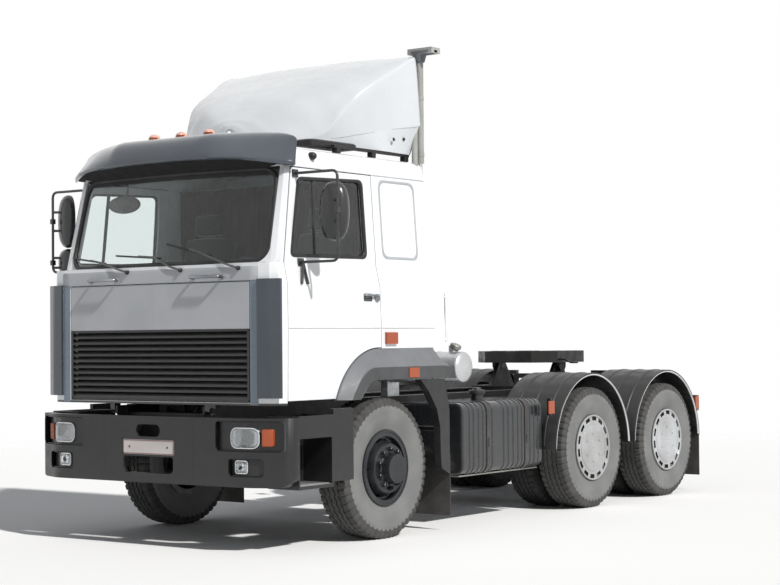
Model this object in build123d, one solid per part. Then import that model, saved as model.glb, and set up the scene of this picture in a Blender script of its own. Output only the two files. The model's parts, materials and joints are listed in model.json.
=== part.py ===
from build123d import *
from math import radians, sin, tan
import os

# Cab-over tractor unit with three axles, a tilting sleeper cab and a fifth wheel. Millimetres.
# X is the vehicle's left, Y runs rearwards, Z is up and the ground is Z = 0. Every piece is drawn
# with Y = 0 at the front axle, and save() moves it so that the origin is under the box's middle.

# ---- Driving dimensions ------------------------------------------------------------------------
front_overhang = 1390        # bumper face to front axle
wheelbase = 2950             # front axle to first rear axle
bogie_spacing = 1400         # first rear axle to second
rear_overhang = 830          # second rear axle to the tail lamps
half_width = 1250            # half of the width over bumper and rear tyres

tyre_radius = 532
tyre_width = 294
bead_radius = 254
rim_width = 250
rim_flange = 12              # thickness of a rim flange
rim_flange_radius = 288
rim_wall = 12
front_track_half = 1010      # tyre middle to the centre plane
twin_spacing = 336           # between the middles of twin tyres
pin_inset = 110              # steering axis to the tyre's middle
kingpin_radius = 24
spindle_radius = 45
steering_arm = 150           # kingpin to track rod pin
hub_radius = 60              # stub axle under a rear hub

pin_play = 0.3               # radial play of a pin or shaft in its bore
seat_play = 0.3              # play between a loose piece and its seat
seam = 6                     # gap round doors and hatch

rail_half = 430              # outer face of a frame rail
rail_height = 290
rail_flange = 80
rail_wall = 10
rail_top = 1035
rail_front = -1170
rail_rear = 720              # rail end behind the last axle

cab_half = half_width - 100  # cab side below the waistline
belt_half = cab_half - 48    # cab side at the foot of the windows
gutter_half = cab_half - 98  # cab side at the gutter
floor_half = cab_half - 70
waist_z = 1590
shoulder_z = 1900
belt_z = 2050
cab_bottom = 1064
cab_rear = 640
cab_panel = 35               # thickness of doors and cab walls
arch_top = 1438              # bottom of the cab over the wheel
roof_z = 2985
gutter_z = roof_z - 230
hatch_half = cab_half - 250
hatch_top = 1925
hatch_split = 1590
grille_bottom = 1070
front_face = -1310           # hatch face at the centre line
front_sweep = 20             # how far the hatch edge lies behind its middle

bumper_bottom = 475
bumper_top = 960
bumper_wall = 60
plate_z = 1380               # top of the fifth wheel
plate_thick = 40

axle_z = tyre_radius
front_y = -front_overhang
axle_2 = wheelbase
axle_3 = wheelbase + bogie_spacing
kingpin_half = front_track_half - pin_inset
rear_y = axle_3 + rear_overhang
to_row = (front_overhang - rear_y) / 2
rail_bottom = rail_top - rail_height
twin_mid = half_width - tyre_width / 2 - twin_spacing / 2


# ---- Small tools -------------------------------------------------------------------------------
def outline(rows, place):
    """Face through rows of (u, v) or (u, v, corner radius); place turns (u, v) into a point."""
    corners = []
    for number, row in enumerate(rows):
        here = Vector(row[0], row[1])
        if len(row) == 2:
            corners.append((here, None, here))
            continue
        before = rows[number - 1]
        after = rows[(number + 1) % len(rows)]
        back = (Vector(before[0], before[1]) - here).normalized()
        ahead = (Vector(after[0], after[1]) - here).normalized()
        half = radians(back.get_angle(ahead)) / 2
        reach = row[2] / tan(half)
        middle = here + (back + ahead).normalized() * (row[2] / sin(half) - row[2])
        corners.append((here + back * reach, middle, here + ahead * reach))
    edges = []
    for number, (start, middle, end) in enumerate(corners):
        if middle is not None:
            edges.append(ThreePointArc(place(start), place(middle), place(end)))
        onward = corners[(number + 1) % len(corners)][0]
        if (onward - end).length > 0.001:
            edges.append(Line(place(end), place(onward)))
    return make_face(Curve() + edges)


def prism_x(rows, x0, x1):
    """Rows of (y, z) drawn out along X."""
    return extrude(outline(rows, lambda p: (x0, p.X, p.Y)), amount=x1 - x0, dir=(1, 0, 0))


def prism_y(rows, y0, y1):
    """Rows of (x, z) drawn out along Y."""
    return extrude(outline(rows, lambda p: (p.X, y0, p.Y)), amount=y1 - y0, dir=(0, 1, 0))


def prism_z(rows, z0, z1):
    """Rows of (x, y) drawn out along Z."""
    return extrude(outline(rows, lambda p: (p.X, p.Y, z0)), amount=z1 - z0, dir=(0, 0, 1))


def turned(rows, x, y, z):
    """Rows of (offset along the axle, radius) turned about an axle along X."""
    return Pos(x, y, z) * revolve(outline(rows, lambda p: (p.X, 0, p.Y)), axis=Axis.X)


def box(x0, x1, y0, y1, z0, z1):
    return Pos((x0 + x1) / 2, (y0 + y1) / 2, (z0 + z1) / 2) * Box(x1 - x0, y1 - y0, z1 - z0)


def rod_x(radius, x0, x1, y, z):
    return Pos((x0 + x1) / 2, y, z) * Rot(0, 90, 0) * Cylinder(radius, x1 - x0)


def rod_y(radius, x, y0, y1, z):
    return Pos(x, (y0 + y1) / 2, z) * Rot(90, 0, 0) * Cylinder(radius, y1 - y0)


def rod_z(radius, x, y, z0, z1):
    return Pos(x, y, (z0 + z1) / 2) * Cylinder(radius, z1 - z0)


def fused(pieces):
    whole = pieces[0]
    for piece in pieces[1:]:
        whole = whole + piece
    return whole


def other_side(piece):
    return mirror(piece, about=Plane.YZ)


def save(node, *pieces):
    """Write one node, moved from the front axle to the row's origin."""
    solids = [solid for piece in pieces for solid in piece.solids()]
    moved = [solid.moved(Location((0, to_row, 0))) for solid in solids]
    export_step(Compound(moved), os.path.join("parts", node + ".step"))
    print(node, len(moved))


os.makedirs("parts", exist_ok=True)

# ---- Frame rails: two pressed channels, open inwards -------------------------------------------
rail_end = axle_3 + rail_rear
rail_web = rail_half - rail_wall
channel = [(rail_half, rail_bottom), (rail_half, rail_top), (rail_half - rail_flange, rail_top),
           (rail_half - rail_flange, rail_top - rail_wall), (rail_web, rail_top - rail_wall),
           (rail_web, rail_bottom + rail_wall), (rail_half - rail_flange, rail_bottom + rail_wall),
           (rail_half - rail_flange, rail_bottom)]
rail = prism_y(channel, rail_front, rail_end)
save("frame_rails", rail, other_side(rail))

# ---- Cross members, with the cab hinge blocks and the tank and box brackets ---------------------
hinge_y = front_y + 150
hinge_z = rail_top - 35
hinge_pin = 20
hinge_block = 20
member_depth = 90
member_places = [rail_front + 60, 1090, 1750, axle_2 - 620, (axle_2 + axle_3) / 2,
                 axle_3 + 500]
members = [box(-rail_web, rail_web, y - member_depth / 2, y + member_depth / 2,
               rail_bottom + 40, rail_top - 60) for y in member_places]
tail_depth = 60
lamp_front = rear_y - 80
tail_member = box(-rail_half, rail_half, rail_end, rail_end + tail_depth, rail_bottom, rail_top)
tail_member = tail_member + box(-1100, 1100, rail_end, lamp_front, 820, 880)
hinge_side = [(hinge_y - 28, hinge_z + 28), (rail_front + 140, hinge_z + 28),
              (rail_front + 140, rail_top - 150), (rail_front, rail_top - 150),
              (hinge_y - 28, hinge_z - 28)]
hinge = prism_x(hinge_side, rail_half, rail_half + hinge_block)
hinge = hinge + rod_x(hinge_pin, rail_half + hinge_block, rail_half + 80, hinge_y, hinge_z)

tank_inner = 560
tank_outer = 1149
tank_front = 1015
tank_clear = 183             # rear of the tank to the second axle's tyres
tank_bottom = 407
tank_top = 985
tank_corner = 80
strap_width = 50
strap_thick = 6
tank_rear = axle_2 - tyre_radius - tank_clear
strap_places = [tank_front + 375, tank_rear - 260]


def tank_section(grown):
    return [(tank_inner - grown, tank_bottom - grown, tank_corner + grown),
            (tank_outer + grown, tank_bottom - grown, tank_corner + grown),
            (tank_outer + grown, tank_top + grown, tank_corner + grown),
            (tank_inner - grown, tank_top + grown, tank_corner + grown)]


brackets = []
for y in strap_places:
    band = prism_y(tank_section(seat_play + strap_thick), y - strap_width / 2, y + strap_width / 2)
    band = band - prism_y(tank_section(seat_play), y - strap_width, y + strap_width)
    arm = box(rail_half, tank_inner - seat_play - strap_thick / 2, y - strap_width / 2,
              y + strap_width / 2, rail_bottom + 20, rail_top - 80)
    brackets.append(band + arm)
save("cross_members", *members, tail_member, hinge, other_side(hinge))
save("tank_straps", *brackets)

# ---- Fuel tank: pressed box with rounded edges and a filler ---------------------------------
filler_x = 950
filler_y = tank_front + 515
tank = prism_y(tank_section(0), tank_front, tank_rear)
tank = tank + rod_z(62, filler_x, filler_y, tank_top - 10, tank_top + 115)
save("fuel_tank", tank)

# ---- Battery box and air tanks on the right ------------------------------------------------------
battery_front = tank_front + 10
battery_length = 640
battery_outer = 1120
battery_bottom = 520
battery_top = 960
battery = box(-battery_outer, -tank_inner, battery_front, battery_front + battery_length,
              battery_bottom, battery_top)
battery_arms = [box(-tank_inner, -rail_half, battery_front + y, battery_front + y + 60,
                    rail_bottom + 20, rail_top - 100) for y in (90, 490)]
save("battery_box", fused([battery] + battery_arms))

air_radius = 138
air_x = 760
air_front = battery_front + battery_length + 60
air_rear = tank_rear
air_tanks = []
for z in (tank_bottom + air_radius + 40, tank_bottom + 3 * air_radius + 60):
    tank_shell = rod_y(air_radius, -air_x, air_front, air_rear, z)
    hanger = box(-air_x, -rail_half, air_front + 190, air_front + 250, z - 25, z + 25)
    hanger_top = box(-rail_half - 30, -rail_half, air_front + 190, air_front + 250,
                     z - 25, rail_top - 100)
    air_tanks.append(tank_shell + hanger + hanger_top)
save("air_tanks", fused(air_tanks))

# ---- Engine and gearbox as one plain block -------------------------------------------------------
engine_half = 330
engine_front = -930
engine_rear = 330
engine_bottom = 560
engine_top = 1290
gearbox_rear = 1000
shaft_z = axle_z + 60
engine = box(-engine_half, engine_half, engine_front, engine_rear, engine_bottom + 120, engine_top)
gearbox = box(-190, 190, engine_rear, gearbox_rear, shaft_z - 160, shaft_z + 330)
sump = box(-200, 200, engine_front + 150, engine_rear - 100, engine_bottom + 60, engine_bottom + 120)
engine_feet = box(-rail_half + rail_flange, rail_half - rail_flange, engine_rear - 160,
                  engine_rear - 60, rail_bottom + 30, rail_top - 120)
nose_feet = box(-rail_half + rail_flange, rail_half - rail_flange, engine_front + 60,
                engine_front + 160, rail_bottom + 30, rail_top - 120)
save("engine", fused([engine, gearbox, sump, engine_feet, nose_feet]))

# ---- Axles: dropped front beam with kingpin eyes, two driven rear axles --------------------------
beam_half = 55
beam_drop = 90
eye_radius = 52
eye_height = 110
beam_z = axle_z - beam_drop
beam_side = [(-kingpin_half, axle_z - 50), (-kingpin_half, axle_z + 50),
             (-kingpin_half + 80, axle_z + 50), (-kingpin_half + 170, beam_z + 45),
             (kingpin_half - 170, beam_z + 45), (kingpin_half - 80, axle_z + 50),
             (kingpin_half, axle_z + 50), (kingpin_half, axle_z - 50),
             (kingpin_half - 80, axle_z - 50), (kingpin_half - 170, beam_z - 45),
             (-kingpin_half + 170, beam_z - 45), (-kingpin_half + 80, axle_z - 50)]
front_axle = prism_y(beam_side, -beam_half + 15, beam_half - 15)
for side in (-1, 1):
    front_axle = front_axle + rod_z(eye_radius, side * kingpin_half, 0, axle_z - eye_height / 2,
                                    axle_z + eye_height / 2)
    front_axle = front_axle - rod_z(kingpin_radius + pin_play, side * kingpin_half, 0,
                                    axle_z - eye_height, axle_z + eye_height)
stub_end = twin_mid + 195
axle_tube = 70
differential = 215
axle_inner = twin_mid - 300
rear_axles = []
for y in (axle_2, axle_3):
    housing = rod_x(axle_tube, -axle_inner, axle_inner, y, axle_z)
    stub = rod_x(hub_radius, -stub_end, stub_end, y, axle_z)
    bowl = [(-260, 0), (-260, 90), (-150, differential), (150, differential), (260, 90), (260, 0)]
    rear_axles.append(housing + stub + turned(bowl, 0, y, axle_z))
save("axles", front_axle, *rear_axles)

# ---- Leaf springs --------------------------------------------------------------------------------
spring_half = 45
spring_x = rail_half - spring_half - 5
spring_span = 760
front_seat = beam_z + 45
front_leaf = [(-spring_span, rail_bottom - 30), (-spring_span, rail_bottom - 75),
              (-180, front_seat + 15), (-90, front_seat), (90, front_seat), (180, front_seat + 15),
              (spring_span, rail_bottom - 75), (spring_span, rail_bottom - 30),
              (100, front_seat + 120), (-100, front_seat + 120)]
front_spring = prism_x(front_leaf, spring_x - spring_half, spring_x + spring_half)
for y in (-spring_span, spring_span - 60):
    front_spring = front_spring + box(spring_x - spring_half, spring_x + spring_half, y, y + 60,
                                      rail_bottom - 70, rail_bottom)
bogie_y = (axle_2 + axle_3) / 2
bogie_seat = axle_z + axle_tube
bogie_half = bogie_spacing / 2
bogie_x = rail_half + spring_half + 25
bogie_leaf = [(-bogie_half - 90, bogie_seat + seat_play), (-bogie_half + 90, bogie_seat + seat_play),
              (-110, bogie_seat + 60), (110, bogie_seat + 60),
              (bogie_half - 90, bogie_seat + seat_play), (bogie_half + 90, bogie_seat + seat_play),
              (bogie_half + 90, bogie_seat + 30), (120, bogie_seat + 190), (-120, bogie_seat + 190),
              (-bogie_half - 90, bogie_seat + 30)]
bogie_spring = Pos(0, bogie_y, 0) * prism_x(bogie_leaf, bogie_x - spring_half, bogie_x + spring_half)
trunnion = box(rail_half, bogie_x + spring_half, bogie_y - 110, bogie_y + 110, bogie_seat - 90,
               bogie_seat + 60)
trunnion = trunnion + box(rail_half, rail_half + 20, bogie_y - 150, bogie_y + 150,
                          bogie_seat - 90, rail_top - 90)
bogie_spring = bogie_spring + trunnion
trunnion_tube = rod_x(50, -rail_half, rail_half, bogie_y, bogie_seat - 30)
save("leaf_springs", front_spring, other_side(front_spring),
     fused([bogie_spring, other_side(bogie_spring), trunnion_tube]))

# ---- Propeller shafts ----------------------------------------------------------------------------
shaft_radius = 55
shaft_1 = rod_y(shaft_radius, 0, gearbox_rear, axle_2 - differential - 60, shaft_z)
shaft_1 = shaft_1 + rod_y(95, 0, axle_2 - differential - 60, axle_2 - differential + 20, shaft_z)
shaft_2 = rod_y(shaft_radius, 0, axle_2 + differential + 60, axle_3 - differential - 60, shaft_z)
shaft_2 = shaft_2 + rod_y(95, 0, axle_2 + differential - 20, axle_2 + differential + 60, shaft_z)
shaft_2 = shaft_2 + rod_y(95, 0, axle_3 - differential - 60, axle_3 - differential + 20, shaft_z)
for housing in rear_axles:
    shaft_1 = shaft_1 - housing
    shaft_2 = shaft_2 - housing
shaft_2 = shaft_2 - trunnion_tube
save("propshafts", shaft_1, shaft_2)

# ---- Bumper: a pressed trough with rounded ends, lamp pockets and a step hole --------------------
bumper_side_end = -1165
bumper_end_y = front_y + 128
bumper_turn = 960
end_corner = 100


def bumper_plan(inset):
    side = half_width - inset
    return [(-side, bumper_side_end),
            (-side, bumper_end_y + inset, end_corner - inset),
            (-bumper_turn, front_y + inset, 260), (bumper_turn, front_y + inset, 260),
            (side, bumper_end_y + inset, end_corner - inset), (side, bumper_side_end)]


pocket_depth = 34
lens_below = 12
low_corner = 90
bumper_front = [(-half_width, bumper_bottom, low_corner), (half_width, bumper_bottom, low_corner),
                (half_width, bumper_top), (-half_width, bumper_top)]
bumper_block = prism_z(bumper_plan(0), bumper_bottom, bumper_top)
bumper_block = bumper_block & prism_y(bumper_front, front_y - 10, bumper_side_end + 10)
bumper_skin = bumper_block - prism_z(bumper_plan(pocket_depth), bumper_bottom, bumper_top)
bumper = bumper_block - prism_z(bumper_plan(bumper_wall), bumper_bottom - 1, bumper_top + 1)
# opening box: x0, x1, z0, z1, corner radius; each is repeated on the other side
pockets = [(660, 1200, 725, 940, 30), (780, 1070, 550, 675, 25)]
# lens box: x0, x1, z0, z1, corner radius
clear_lenses = [(780, 1015, 750, 890, 25), (820, 940, 574, 660, 15)]
amber_lenses = [(1035, 1170, 750, 890, 15)]


def front_window(row):
    x0, x1, z0, z1, corner = row
    rows = [(x0, z0, corner), (x1, z0, corner), (x1, z1, corner), (x0, z1, corner)]
    return prism_y(rows, front_y - 20, bumper_side_end)


for row in pockets:
    cut = bumper_skin & front_window(row)
    bumper = bumper - cut - other_side(cut)
step_hole = [(-120, 810, 44), (120, 810, 44), (120, 900, 44), (-120, 900, 44)]
low_mouth = [(-250, 545, 40), (250, 545, 40), (250, 666, 20), (-250, 666, 20)]
plate_rows = [(-262, 676), (262, 676), (262, 792), (-262, 792)]
bumper = bumper - prism_y(step_hole, front_y - 10, front_y + bumper_wall + 10)
bumper = bumper - prism_y(low_mouth, front_y - 10, front_y + bumper_wall + 10)
bumper = bumper - prism_y(plate_rows, front_y - 10, front_y + 5)
bumper_arm = box(rail_half - 60, rail_half, front_y + bumper_wall, rail_front, rail_bottom,
                 rail_top - 100)
save("bumper", fused([bumper, bumper_arm, other_side(bumper_arm)]))

lens_skin = prism_z(bumper_plan(lens_below), bumper_bottom, bumper_top)
lens_skin = lens_skin - prism_z(bumper_plan(pocket_depth), bumper_bottom, bumper_top)
clear = [lens_skin & front_window(row) for row in clear_lenses]
amber = [lens_skin & front_window(row) for row in amber_lenses]
save("clear_lamps", *clear, *[other_side(lens) for lens in clear])

# ---- Step boxes beside the bumper, with the plate in front of each wheel -------------------------
step_front = bumper_side_end
step_rear = -770
step_top = 970
step_z = 465
post_rear = -535
post_top = 1010
step_outer = half_width - 10
step_inner = 950
upper_panel = box(step_outer - 25, step_outer, step_front, step_rear, 810, step_top)
step_back = box(step_inner, step_outer, step_rear - 20, step_rear, step_z, step_top)
step_wall = box(step_inner, step_inner + 20, step_front, step_rear, step_z, step_top)
step_tread = box(step_inner, step_outer, step_front, step_rear, step_z - 12, step_z + 12)
step_front_wall = box(step_inner, step_outer, step_front, step_front + 15, step_z, step_top)
post = box(step_outer - 35, step_outer, step_rear, post_rear, 490, post_top)
step_arm = box(rail_half, step_inner, -1010, -950, rail_bottom + 10, rail_bottom + 100)
step_side = fused([upper_panel, step_back, step_wall, step_tread, step_front_wall, post, step_arm])
save("step_boxes", step_side, other_side(step_side))

# ---- Signal lamps: bumper indicators, guard reflectors and tail lamps ----------------------------
guard_radius = 660
guard_wall = 12
guard_inner = 650
tail_lamp = box(860, 1160, lamp_front, rear_y, 780, 920)
save("signal_lamps", *amber, *[other_side(lens) for lens in amber], tail_lamp,
     other_side(tail_lamp))

# ---- Rear mudguards, mud flaps and the strips behind the front wheels ----------------------------
guards = []
for y in (axle_2, axle_3):
    ring = turned([(guard_inner, guard_radius - guard_wall), (half_width, guard_radius - guard_wall),
                   (half_width, guard_radius), (guard_inner, guard_radius)], 0, y, axle_z)
    ring = ring & box(guard_inner, half_width, y - guard_radius, y + guard_radius,
                      axle_z + 10, axle_z + guard_radius)
    under = axle_z + guard_radius - guard_wall
    hanger = [(rail_half, rail_top - 120), (rail_half + 25, rail_top - 120),
              (rail_half + 25, under - 40), (1000, under - 40), (1000, under + 4),
              (rail_half, under + 4)]
    guards.append(ring + prism_y(hanger, y - 25, y + 25))
save("rear_mudguards", *guards, *[other_side(guard) for guard in guards])

flap_wall = 8
flap_top = axle_z + 10
flap_y = axle_3 + guard_radius - flap_wall
front_flap_y = 700
rear_flap = box(guard_inner + 10, half_width - 5, flap_y, flap_y + flap_wall, 152, flap_top)
front_flap = box(900, half_width - 10, front_flap_y, front_flap_y + flap_wall, 120, 600)
strip_outer = half_width - 10
strip_rows = [(315, 1194), (642, 1194), (front_flap_y, 950), (front_flap_y, 445), (590, 498),
              (577, 605), (572, 820), (528, 964), (422, 1101)]
strip = prism_x(strip_rows, strip_outer - 60, strip_outer)
strip_arm = rod_x(20, rail_half, strip_outer - 50, front_flap_y - 40, 800)
flap_hook = box(920, 960, front_flap_y - 60, front_flap_y, 560, 820)
wheel_strip = strip + strip_arm + flap_hook
save("mud_flaps", rear_flap, other_side(rear_flap), front_flap, other_side(front_flap))
save("wheel_strips", wheel_strip, other_side(wheel_strip))

# ---- Reservoir across the frame behind the cab ---------------------------------------------------
reservoir_radius = 125
reservoir_y = 1070
reservoir_z = 1275
reservoir_outer = 1120
reservoir = rod_x(reservoir_radius, 300, reservoir_outer, reservoir_y, reservoir_z)
reservoir = reservoir + rod_z(38, reservoir_outer - 90, reservoir_y, reservoir_z, reservoir_z + 175)
reservoir = reservoir + rod_z(38, reservoir_outer - 330, reservoir_y, reservoir_z, reservoir_z + 165)
saddle = box(rail_half - 75, rail_half - 5, reservoir_y - 80, reservoir_y + 80, rail_top,
             reservoir_z - 60)
foot = box(860, 910, reservoir_y - 40, reservoir_y + 40, tank_top, reservoir_z - 60)
save("reservoir", fused([reservoir, saddle, foot]))

# ---- Fifth wheel: base brackets with a cross pin, and the tilting plate --------------------------
plate_y = bogie_y + 225
plate_half = 450
plate_front = plate_y - 375
plate_back = plate_y + 375
kingpin_y = plate_y - 75
kingpin_bore = 25.5
pivot_z = plate_z - 150
pivot_radius = 28
base_x = 300
base_wall = 40
base_foot = 16
base_top = rail_top + base_foot
ear = [(plate_y - 200, base_top), (plate_y + 200, base_top), (plate_y + 55, pivot_z + 40, 30),
       (plate_y - 55, pivot_z + 40, 30)]
base_ear = prism_x(ear, base_x, base_x + base_wall)
base_ear = base_ear - rod_x(pivot_radius + pin_play, base_x - 10, base_x + base_wall + 10,
                            plate_y, pivot_z)
base_plate = box(-rail_half - 20, rail_half + 20, plate_y - 320, plate_y + 320, rail_top, base_top)
base_plate = base_plate - box(-base_x + 60, base_x - 60, plate_y - 240, plate_y + 240,
                              rail_top - 1, base_top + 1)
save("fifth_wheel_base", fused([base_plate, base_ear, other_side(base_ear)]))

skirt_z = plate_z - 110
plate_rows = [(-260, plate_front), (260, plate_front), (plate_half, plate_front + 170),
              (plate_half, plate_back - 90), (330, plate_back), (110, plate_back),
              (45, kingpin_y + 90), (-45, kingpin_y + 90), (-110, plate_back),
              (-330, plate_back), (-plate_half, plate_back - 90), (-plate_half, plate_front + 170)]
rim_rows = [(-260, plate_front), (260, plate_front), (plate_half, plate_front + 170),
            (plate_half, plate_back - 90), (330, plate_back), (-330, plate_back),
            (-plate_half, plate_back - 90), (-plate_half, plate_front + 170)]
inner_rows = [(-245, plate_front + 25), (245, plate_front + 25), (plate_half - 25, plate_front + 180),
              (plate_half - 25, plate_back - 100), (320, plate_back + 5), (-320, plate_back + 5),
              (-plate_half + 25, plate_back - 100), (-plate_half + 25, plate_front + 180)]
skirt = prism_z(rim_rows, skirt_z, plate_z - plate_thick) - prism_z(inner_rows, skirt_z,
                                                                    plate_z - plate_thick)
coupling = prism_z(plate_rows, plate_z - plate_thick, plate_z) + skirt
coupling = coupling + rod_z(80, 0, kingpin_y, skirt_z, plate_z - plate_thick)
lug_x = base_x + base_wall + 6
lug = [(plate_y - 60, plate_z - plate_thick), (plate_y - 60, pivot_z, 20),
       (plate_y - 30, pivot_z - 45, 20), (plate_y + 30, pivot_z - 45, 20),
       (plate_y + 60, pivot_z, 20), (plate_y + 60, plate_z - plate_thick)]
lug_block = prism_x(lug, lug_x, lug_x + 35)
pivot_pin = rod_x(pivot_radius, base_x - 5, lug_x + 5, plate_y, pivot_z)
coupling = fused([coupling, lug_block, other_side(lug_block), pivot_pin, other_side(pivot_pin)])
coupling = coupling - rod_z(kingpin_bore, 0, kingpin_y, skirt_z - 10, plate_z + 10)
save("fifth_wheel_plate", coupling)

# ---- Steering knuckles and the track rod between them --------------------------------------------
fork_reach = eye_height / 2 + 5
fork_thick = 45
fork_plate = front_track_half - 45
rod_drop = 90
arm_thick = 30
knuckle = rod_z(kingpin_radius, kingpin_half, 0, axle_z - fork_reach - fork_thick,
                axle_z + fork_reach + fork_thick)
for z0 in (axle_z + fork_reach, axle_z - fork_reach - fork_thick):
    knuckle = knuckle + rod_z(50, kingpin_half, 0, z0, z0 + fork_thick)
    knuckle = knuckle + box(kingpin_half, fork_plate + 20, -50, 50, z0, z0 + fork_thick)
knuckle = knuckle + box(fork_plate, fork_plate + 20, -70, 70, axle_z - fork_reach - fork_thick,
                        axle_z + fork_reach + fork_thick)
spindle_end = front_track_half + 185
knuckle = knuckle + rod_x(spindle_radius, fork_plate + 20, spindle_end, 0, axle_z)
arm_z = axle_z - fork_reach - fork_thick
knuckle = knuckle + box(kingpin_half - 25, kingpin_half + 25, 0, steering_arm, arm_z,
                        arm_z + arm_thick)
knuckle = knuckle + rod_z(25, kingpin_half, steering_arm, arm_z, arm_z + arm_thick)
track_pin = 14
track_eye = 26
knuckle = knuckle + rod_z(track_pin, kingpin_half, steering_arm, arm_z - 45, arm_z)
save("knuckle_left", knuckle)
save("knuckle_right", other_side(knuckle))

track_z = arm_z - 22
track_rod = rod_x(18, -kingpin_half + 20, kingpin_half - 20, steering_arm, track_z)
for side in (-1, 1):
    track_rod = track_rod + rod_z(track_eye, side * kingpin_half, steering_arm, track_z - 20,
                                  arm_z - 1)
for side in (-1, 1):
    track_rod = track_rod - rod_z(track_pin + pin_play, side * kingpin_half, steering_arm,
                                  track_z - 40, arm_z + 10)
save("track_rod", track_rod)

# ---- Tyres and wheels ----------------------------------------------------------------------------
half_tyre = tyre_width / 2
bead_half = rim_width / 2 - rim_flange - 1
tread_half = half_tyre - 30
tyre_rows = [(-bead_half, bead_radius), (-bead_half, rim_flange_radius + 4),
             (-half_tyre, bead_radius + 130), (-half_tyre + 6, tyre_radius - 65),
             (-tread_half, tyre_radius), (tread_half, tyre_radius),
             (half_tyre - 6, tyre_radius - 65), (half_tyre, bead_radius + 130),
             (bead_half, rim_flange_radius + 4), (bead_half, bead_radius)]
half_rim = rim_width / 2
rim_outer = bead_radius - seat_play
rim_inner = rim_outer - rim_wall
inside_flange = half_rim - rim_flange
hub_bore = spindle_radius + pin_play
cap_reach = half_width - 5 - front_track_half
front_rim_rows = [(-half_rim, rim_inner), (-half_rim, rim_flange_radius),
                  (-inside_flange, rim_flange_radius), (-inside_flange, rim_outer),
                  (inside_flange, rim_outer), (inside_flange, rim_flange_radius),
                  (half_rim, rim_flange_radius), (half_rim, rim_inner), (72, rim_inner - 4),
                  (68, 222), (95, 208), (150, 190), (162, 182), (162, 124), (172, 116),
                  (cap_reach, 110), (cap_reach, 0), (190, 0), (190, hub_bore), (-18, hub_bore),
                  (-18, 195), (55, 200), (55, rim_inner)]
front_tyre = turned(tyre_rows, front_track_half, 0, axle_z)
front_rim = turned(front_rim_rows, front_track_half, 0, axle_z)
hand_holes = 10
for number in range(hand_holes):
    angle = 360 * (number + 0.5) / hand_holes
    hole = Rot(angle, 0, 0) * rod_x(14, 60, 140, 0, 216)
    front_rim = front_rim - Pos(front_track_half, 0, axle_z) * hole
save("tyre_front_left", front_tyre)
save("tyre_front_right", other_side(front_tyre))
save("rim_front_left", front_rim)
save("rim_front_right", other_side(front_rim))

twin_out = twin_spacing / 2 + half_rim
twin_in = twin_spacing / 2 - half_rim
rear_bore = hub_radius + pin_play
cover_thick = 10
rear_rim_rows = [(-twin_out, rim_inner), (-twin_out, rim_flange_radius),
                 (-twin_out + rim_flange, rim_flange_radius), (-twin_out + rim_flange, rim_outer),
                 (-twin_in - rim_flange, rim_outer), (-twin_in - rim_flange, rim_flange_radius),
                 (-twin_in, rim_flange_radius), (-twin_in, rim_outer),
                 (twin_in, rim_outer), (twin_in, rim_flange_radius),
                 (twin_in + rim_flange, rim_flange_radius), (twin_in + rim_flange, rim_outer),
                 (twin_out - rim_flange, rim_outer), (twin_out - rim_flange, rim_flange_radius),
                 (twin_out + cover_thick, rim_flange_radius), (twin_out + cover_thick, 0),
                 (twin_out, 0), (twin_out, rim_inner), (30, rim_inner), (30, 115),
                 (stub_end - twin_mid - 10, 105), (stub_end - twin_mid - 10, rear_bore),
                 (-twin_out + 5, rear_bore), (-twin_out + 5, 205), (-20, 205), (-20, rim_inner)]
slot_count = 10
rear_rim = turned(rear_rim_rows, 0, 0, 0)
slot = box(twin_out - 2, twin_out + cover_thick + 2, -16, 16, 130, 215)
for number in range(slot_count):
    rear_rim = rear_rim - Rot(360 * number / slot_count, 0, 0) * slot
twin_tyre = turned(tyre_rows, twin_spacing / 2, 0, 0)
twin_tyres = Compound([twin_tyre.solids()[0], other_side(twin_tyre).solids()[0]])
for name, y in (("middle", axle_2), ("rear", axle_3)):
    place = Pos(twin_mid, y, axle_z)
    for side in ("left", "right"):
        tyre_pair = [place * solid for solid in twin_tyres.solids()]
        rim_there = place * rear_rim
        if side == "right":
            tyre_pair = [other_side(solid) for solid in tyre_pair]
            rim_there = other_side(rim_there)
        save("tyres_" + name + "_" + side, *tyre_pair)
        save("rim_" + name + "_" + side, rim_there)

# ---- Cab shell: sides, back wall, firewall, cowl and windscreen pillars, welded up as one --------
front_bottom = 1045
door_front = [(-1000, gutter_z - 8), (-1141, belt_z), (-1158, waist_z), (-1166, cab_bottom + 11)]
door_rear = [(-66, arch_top + seam), (-62, belt_z), (-60, gutter_z - 8)]
door_seam = 8
arch_corner = -443
arch_foot = -618
arch_round = 566


def side_profile(inset):
    """Cab side from low to high, as (x, z), moved inwards."""
    return [(cab_half - inset, front_bottom - 30), (cab_half - inset, waist_z),
            (cab_half - 12 - inset, shoulder_z), (belt_half - inset, belt_z),
            (gutter_half - inset, gutter_z)]


def side_skin(outside, inside, y0=-1400, y1=900):
    """The cab side between two depths below its outer face."""
    return prism_y(side_profile(outside) + side_profile(inside)[::-1], y0, y1)


def front_plan(back):
    """Front of the cab seen from above, closed off at y = back."""
    half = [(cab_half - 165, front_face + front_sweep), (cab_half - 80, -1272),
            (cab_half - 28, -1232), (cab_half, -1172), (cab_half, ear_end),
            (ear_inner, ear_end), (ear_inner, back)]
    return [(-x, y) for x, y in reversed(half)] + [(0, front_face)] + half


ear_end = -1130
pillar_inner = belt_half - cab_panel - door_seam
ear_inner = floor_half + seat_play
hatch_thick = 26


def hatch_plan(half, front, back):
    """Bowed strip of the hatch, from one depth behind its face to another."""
    sweep = front_sweep * half / (cab_half - 165)
    return [(-half, front_face + sweep + front), (0, front_face + front),
            (half, front_face + sweep + front), (half, front_face + sweep + back),
            (0, front_face + back), (-half, front_face + sweep + back)]


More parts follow.
